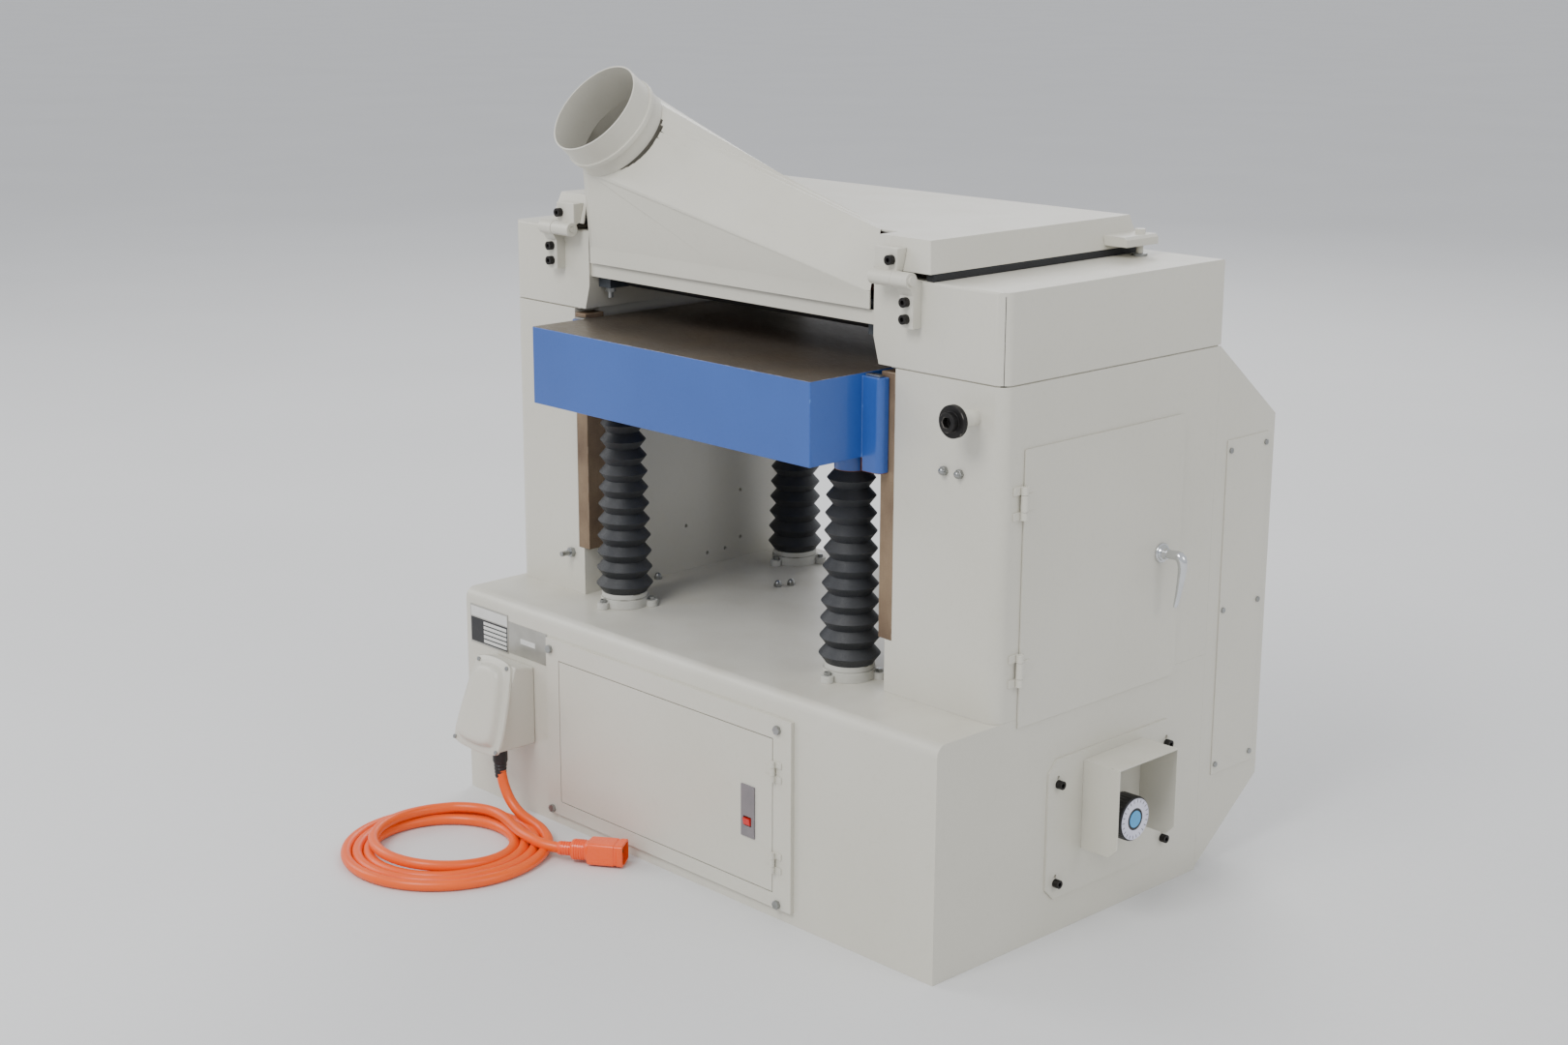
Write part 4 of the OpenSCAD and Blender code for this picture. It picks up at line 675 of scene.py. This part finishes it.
handleForm = {"x": 503.3, "y": 163, "z": 503,
              "rose": [(0, 14), (2.4, 14), (3.4, 13.2), (3.6, 11.4), (6, 10.6), (6.4, 8.6), (9, 8), (12, 7.4),
                       (12.5, 6)],
              "lever": [((8, 0, 0), 6.6), ((16, 0, 0.3), 6.3), ((24, 0.2, 0.8), 6.6), ((30, 0.5, 0), 7.2),
                        ((34, 0.9, -4), 7.4), ((35.6, 1.2, -10), 6.8), ((35.4, 1.5, -20), 6.0),
                        ((34, 1.4, -32), 5.3), ((32.4, 1.0, -45), 4.6), ((30.6, 0.2, -58), 3.9),
                        ((29, -1, -68), 3.2), ((28.2, -1.8, -72), 2.4)],
              "shaft": (-9, 0.1, 4)}


def makeHandle(s):
    base = Vector((s["x"], s["y"], s["z"]))
    spots = [(base + Vector((x, 0, 0))) * mm for x, r in s["rose"]]
    rose = sweptTube(spots, [r * mm for x, r in s["rose"]], 48)
    line = refined([(base + Vector(p)) * mm for p, r in s["lever"]], 4)
    sizes = [keyed([(4 * k, r) for k, (p, r) in enumerate(s["lever"])], i) * mm for i in range(len(line))]
    lever = sweptTube(line, sizes, 28)
    back, front, thick = s["shaft"]
    for part in (lever, sweptTube([(base + Vector((x, 0, 0))) * mm for x in (back, front)], thick * mm, 24)):
        mesh = bpy.data.meshes.new("part")
        part.to_mesh(mesh)
        part.free()
        rose.from_mesh(mesh)
        bpy.data.meshes.remove(mesh)
    return rose


dialForm = {"y": 75, "z": 148, "front": 545, "back": 484.5, "grip": 32, "ridges": 36,
            "face": (15.8, 29.5, 0.5), "arc": (12.4, 15.6, 0.7), "centre": (0.05, 12, 0.8), "sunk": 0.2,
            "ticks": 22, "ticksAt": 26, "tick": (0.3, 4.6, 0.9)}


def knobPoints(s, profile):
    return [Vector((x, s["y"], s["z"])) * mm for x, r in profile], [r * mm for x, r in profile]


def makeKnob(s):
    x, r = s["front"], s["grip"]
    profile = [(s["back"], 8), (x - 34, 8), (x - 33.6, 20), (x - 31, 27), (x - 29, r - 1), (x - 28, r),
               (x - 16, r), (x - 4, r), (x - 2, r - 0.4), (x - 0.6, r - 1.5), (x, r - 2.6)]
    bm = sweptTube(*knobPoints(s, profile), 216)
    for v in bm.verts:
        off = Vector((0, v.co.y / mm - s["y"], v.co.z / mm - s["z"]))
        if off.length > r - 0.2:
            v.co -= off.normalized() * 0.8 * mm * (0.5 - 0.5 * math.cos(s["ridges"] * math.atan2(off.z, off.y)))
    return bm


def arcPlate(s, part, begin, end, count):
    inner, outer, proud = s[part]
    low, high = s["front"] - s["sunk"], s["front"] + proud
    bm = bmesh.new()
    rings = []
    for k in range(count + 1):
        a = math.radians(begin + (end - begin) * k / count)
        rings.append([bm.verts.new(Vector((x, s["y"] + r * math.cos(a), s["z"] + r * math.sin(a))) * mm)
                      for x, r in ((low, inner), (low, outer), (high, outer), (high, inner))])
    loft(bm, rings)
    bmesh.ops.recalc_face_normals(bm, faces=bm.faces)
    return bm


bellowsForm = {"folds": 11, "bottom": 43.6, "top": 33.0, "depth": 10.0, "sides": 72}


def setInput(modifier, title, value):
    for item in modifier.node_group.interface.items_tree:
        if item.item_type == "SOCKET" and item.in_out == "INPUT" and item.name == title:
            modifier[item.identifier] = value


def treeFor(name, inputs):
    tree = bpy.data.node_groups.new(name, "GeometryNodeTree")
    tree.interface.new_socket("Geometry", in_out="INPUT", socket_type="NodeSocketGeometry")
    for title, kind, value in inputs:
        socket = tree.interface.new_socket(title, in_out="INPUT", socket_type="NodeSocket" + kind)
        if value is not None:
            socket.default_value = value
    tree.interface.new_socket("Geometry", in_out="OUTPUT", socket_type="NodeSocketGeometry")
    return tree, tree.nodes.new("NodeGroupInput"), tree.nodes.new("NodeGroupOutput")


def finishTree(tree, start, end, geometry):
    real = tree.nodes.new("GeometryNodeRealizeInstances")
    coat = tree.nodes.new("GeometryNodeSetMaterial")
    tree.links.new(geometry, real.inputs[0])
    tree.links.new(real.outputs[0], coat.inputs["Geometry"])
    tree.links.new(start.outputs["Finish"], coat.inputs["Material"])
    tree.links.new(coat.outputs[0], end.inputs[0])


def grown(tree, base, finish, values, name):
    obj = plainObject(name, base)
    modifier = obj.modifiers.new("grow", "NODES")
    modifier.node_group = tree
    setInput(modifier, "Finish", mats[finish])
    for title, value in values.items():
        setInput(modifier, title, value)
    mesh = evaluatedMesh(obj)
    mesh.materials.clear()
    return mesh


def bellowsTree():
    tree, start, end = treeFor("foldedTube", [
        ("Folds", "Int", 11), ("Bottom", "Float", 0.04), ("Top", "Float", 0.03), ("Depth", "Float", 0.01),
        ("Height", "Float", 0.27), ("Sides", "Int", 48), ("Finish", "Material", None)])
    link = tree.links.new
    line = addNode(tree, "GeometryNodeCurvePrimitiveLine")
    rise = tree.nodes.new("ShaderNodeCombineXYZ")
    link(start.outputs["Height"], rise.inputs["Z"])
    link(rise.outputs[0], line.inputs["End"])
    steps = calc(tree, "ADD", calc(tree, "MULTIPLY", start.outputs["Folds"], 4), 1)
    cut = addNode(tree, "GeometryNodeResampleCurve")
    link(line.outputs[0], cut.inputs["Curve"])
    link(steps, cut.inputs["Count"])
    index = tree.nodes.new("GeometryNodeInputIndex").outputs[0]
    along = addNode(tree, "GeometryNodeSplineParameter").outputs["Factor"]
    phase = calc(tree, "MULTIPLY", index, math.pi / 2)
    ridge = calc(tree, "MULTIPLY", calc(tree, "SUBTRACT", 1, calc(tree, "COSINE", phase)), 0.5)
    sharp = calc(tree, "SUBTRACT", 1, ridge)
    inward = calc(tree, "MULTIPLY", sharp, start.outputs["Depth"])
    slim = calc(tree, "MULTIPLY", calc(tree, "SUBTRACT", start.outputs["Bottom"], start.outputs["Top"]), along)
    radius = calc(tree, "SUBTRACT", calc(tree, "SUBTRACT", start.outputs["Bottom"], slim), inward)
    ring = addNode(tree, "GeometryNodeCurvePrimitiveCircle", {"Radius": 1.0})
    link(start.outputs["Sides"], ring.inputs["Resolution"])
    fat = tree.nodes.new("GeometryNodeSetCurveRadius")
    link(cut.outputs[0], fat.inputs["Curve"])
    link(radius, fat.inputs["Radius"])
    skin = addNode(tree, "GeometryNodeCurveToMesh", {"Fill Caps": True})
    link(fat.outputs[0], skin.inputs["Curve"])
    link(ring.outputs[0], skin.inputs["Profile Curve"])
    if "Scale" in skin.inputs:
        link(radius, skin.inputs["Scale"])
    place = addNode(tree, "GeometryNodeInstanceOnPoints")
    link(start.outputs["Geometry"], place.inputs["Points"])
    link(skin.outputs[0], place.inputs["Instance"])
    finishTree(tree, start, end, place.outputs[0])
    return tree


def islandBoxes(node):
    bm = nodeMesh(node)
    seen, boxes = set(), []
    for first in bm.verts:
        if first in seen:
            continue
        stack, group = [first], []
        seen.add(first)
        while stack:
            v = stack.pop()
            group.append(v.co.copy())
            for e in v.link_edges:
                other = e.other_vert(v)
                if other not in seen:
                    seen.add(other)
                    stack.append(other)
        low = Vector([min(c[k] for c in group) for k in range(3)])
        boxes.append((low, Vector([max(c[k] for c in group) for k in range(3)])))
    bm.free()
    return boxes


def pointMesh(name, spots):
    mesh = bpy.data.meshes.new(name)
    mesh.from_pydata([tuple(p) for p in spots], [], [])
    return mesh


bellowsBoxes = islandBoxes("bellows")
bellowsLow = min(b[0].z for b in bellowsBoxes)
bellowsHigh = max(b[1].z for b in bellowsBoxes)
feet = sorted({(round((b[0].x + b[1].x) / 2, 4), round((b[0].y + b[1].y) / 2, 4)) for b in bellowsBoxes})
bellowsMesh = grown(bellowsTree(), pointMesh("feet", [(x, y, bellowsLow) for x, y in feet]), "bellowsRubber", {
    "Folds": bellowsForm["folds"], "Bottom": bellowsForm["bottom"] * mm, "Top": bellowsForm["top"] * mm,
    "Depth": bellowsForm["depth"] * mm, "Height": bellowsHigh - bellowsLow,
    "Sides": bellowsForm["sides"]}, "bellows")
bellowsPiece = newPiece("bellowsTubes", bellowsMesh, "bellowsRubber", None, smooth=38)
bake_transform(bellowsPiece)
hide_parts("bellows")
print("bellows folded at", feet)


def blocksTree():
    tree, start, end = treeFor("smallBlocks", [
        ("Wide", "Float", 0.01), ("Deep", "Float", 0.001), ("Tall", "Float", 0.01), ("Turn", "Float", 0.0),
        ("Step", "Float", 0.0), ("Finish", "Material", None)])
    link = tree.links.new
    size = tree.nodes.new("ShaderNodeCombineXYZ")
    for k, title in enumerate(("Wide", "Deep", "Tall")):
        link(start.outputs[title], size.inputs[k])
    block = tree.nodes.new("GeometryNodeMeshCube")
    link(size.outputs[0], block.inputs["Size"])
    turn = tree.nodes.new("ShaderNodeCombineXYZ")
    index = tree.nodes.new("GeometryNodeInputIndex").outputs[0]
    steps = calc(tree, "MULTIPLY", index, start.outputs["Step"])
    link(calc(tree, "ADD", steps, start.outputs["Turn"]), turn.inputs[0])
    place = tree.nodes.new("GeometryNodeInstanceOnPoints")
    link(start.outputs["Geometry"], place.inputs["Points"])
    link(block.outputs[0], place.inputs["Instance"])
    link(turn.outputs[0], place.inputs["Rotation"])
    finishTree(tree, start, end, place.outputs[0])
    return tree


blocks = blocksTree()


def blockPiece(name, spots, size, finish, body, turn=0.0, step=0.0):
    mesh = grown(blocks, pointMesh(name, [Vector(p) * mm for p in spots]), finish, {
        "Wide": size[0] * mm, "Deep": size[1] * mm, "Tall": size[2] * mm, "Turn": turn, "Step": step}, name)
    return newPiece(name, mesh, finish, body)


newPiece("boxCover", makeCover(coverForm), "cabinetPaint", bodyOf["junction_lid"], ["junction_lid"], smooth=50)
handleBody = bodyOf["door_handle"]
newPiece("doorLever", makeHandle(handleForm), "polishedChrome", handleBody, ["door_handle"], smooth=40)
dialBody = bodyOf["speed_knob"]
newPiece("dialGrip", makeKnob(dialForm), "blackPlastic", dialBody, ["speed_knob"], smooth=40)
fullTurn = 359.9
newPiece("dialFace", arcPlate(dialForm, "face", 0, fullTurn, 96), "dialWhite", dialBody)
newPiece("dialArc", arcPlate(dialForm, "arc", -215, 35, 64), "plateInk", dialBody)
newPiece("dialCentre", arcPlate(dialForm, "centre", 0, fullTurn, 64), "dialBlue", dialBody)
gap = 2 * math.pi / dialForm["ticks"]
reach = dialForm["ticksAt"]
tickSpots = [(dialForm["front"] + dialForm["face"][2], dialForm["y"] + reach * math.cos(gap * k),
              dialForm["z"] + reach * math.sin(gap * k)) for k in range(dialForm["ticks"])]
blockPiece("dialTicks", tickSpots, dialForm["tick"], "plateInk", dialBody, step=gap)

# generic bands and rows, each a middle point and a size
plateForm = {"head": ((-441, -283, 296.5), (92, 0.3, 16)), "ground": ((-441, -283, 267), (92, 0.3, 39)),
             "row": ((-426, -283.1, 252.4), (58, 0.4, 5)), "rows": 5, "pitch": 7.2,
             "blank": ((-344, -283, 273), (36, 0.4, 8))}
plateBody = bodyOf["rating_plates"]
for name, part, finish in (("plateHead", "head", "plateWhite"), ("plateGround", "ground", "plateInk"),
                           ("plateRows", "row", "plateWhite"), ("plateBlank", "blank", "plateWhite")):
    (x, y, z), size = plateForm[part]
    count = plateForm["rows"] if part == "row" else 1
    blockPiece(name, [(x, y, z + plateForm["pitch"] * k) for k in range(count)], size, finish, plateBody)

# painted shade: thin dark strips on the switch plate stand in for the shade inside its slots
slotForm = {"at": (155.5, -287.45, 170), "pitch": 3.2, "count": 2, "size": (18, 0.3, 0.9)}
x, y, z = slotForm["at"]
slotSpots = [(x, y, z - slotForm["pitch"] * k) for k in range(slotForm["count"])]
blockPiece("switchSlotShade", slotSpots, slotForm["size"], "plateInk", bodyOf["control_door"])
print("covers, dial, handle and plates made")


studio = {"floor": 60.0, "world": (0.93, 0.95, 1.0), "worldStrength": 0.85,
          "lamps": [("keyLamp", (0.6, -4.2, 4.6), 2.6, 190), ("sideLamp", (4.8, 0.6, 3.4), 2.6, 60),
                    ("backLamp", (-2.6, 4.2, 4.0), 3.0, 110), ("leftLamp", (-4.4, -2.2, 2.8), 2.8, 70)]}


def makeStudio(s):
    bm = bmesh.new()
    bmesh.ops.create_grid(bm, x_segments=4, y_segments=4, size=s["floor"])
    floor = newPiece("paleFloor", bm, "paleFloor", None)
    for name, place, size, power in s["lamps"]:
        data = bpy.data.lights.new(name, "AREA")
        data.shape = "DISK"
        data.size = size
        data.energy = power
        lamp = bpy.data.objects.new(name, data)
        lamp.location = place
        lamp.rotation_euler = (Vector((0, 0, 0.4)) - Vector(place)).to_track_quat("-Z", "Y").to_euler()
        bpy.context.scene.collection.objects.link(lamp)
    world = bpy.data.worlds.new("softWorld")
    world.use_nodes = True
    sky = world.node_tree.nodes["Background"]
    sky.inputs["Color"].default_value = s["world"] + (1,)
    sky.inputs["Strength"].default_value = s["worldStrength"]
    bpy.context.scene.world = world


makeStudio(studio)
print("studio lit")
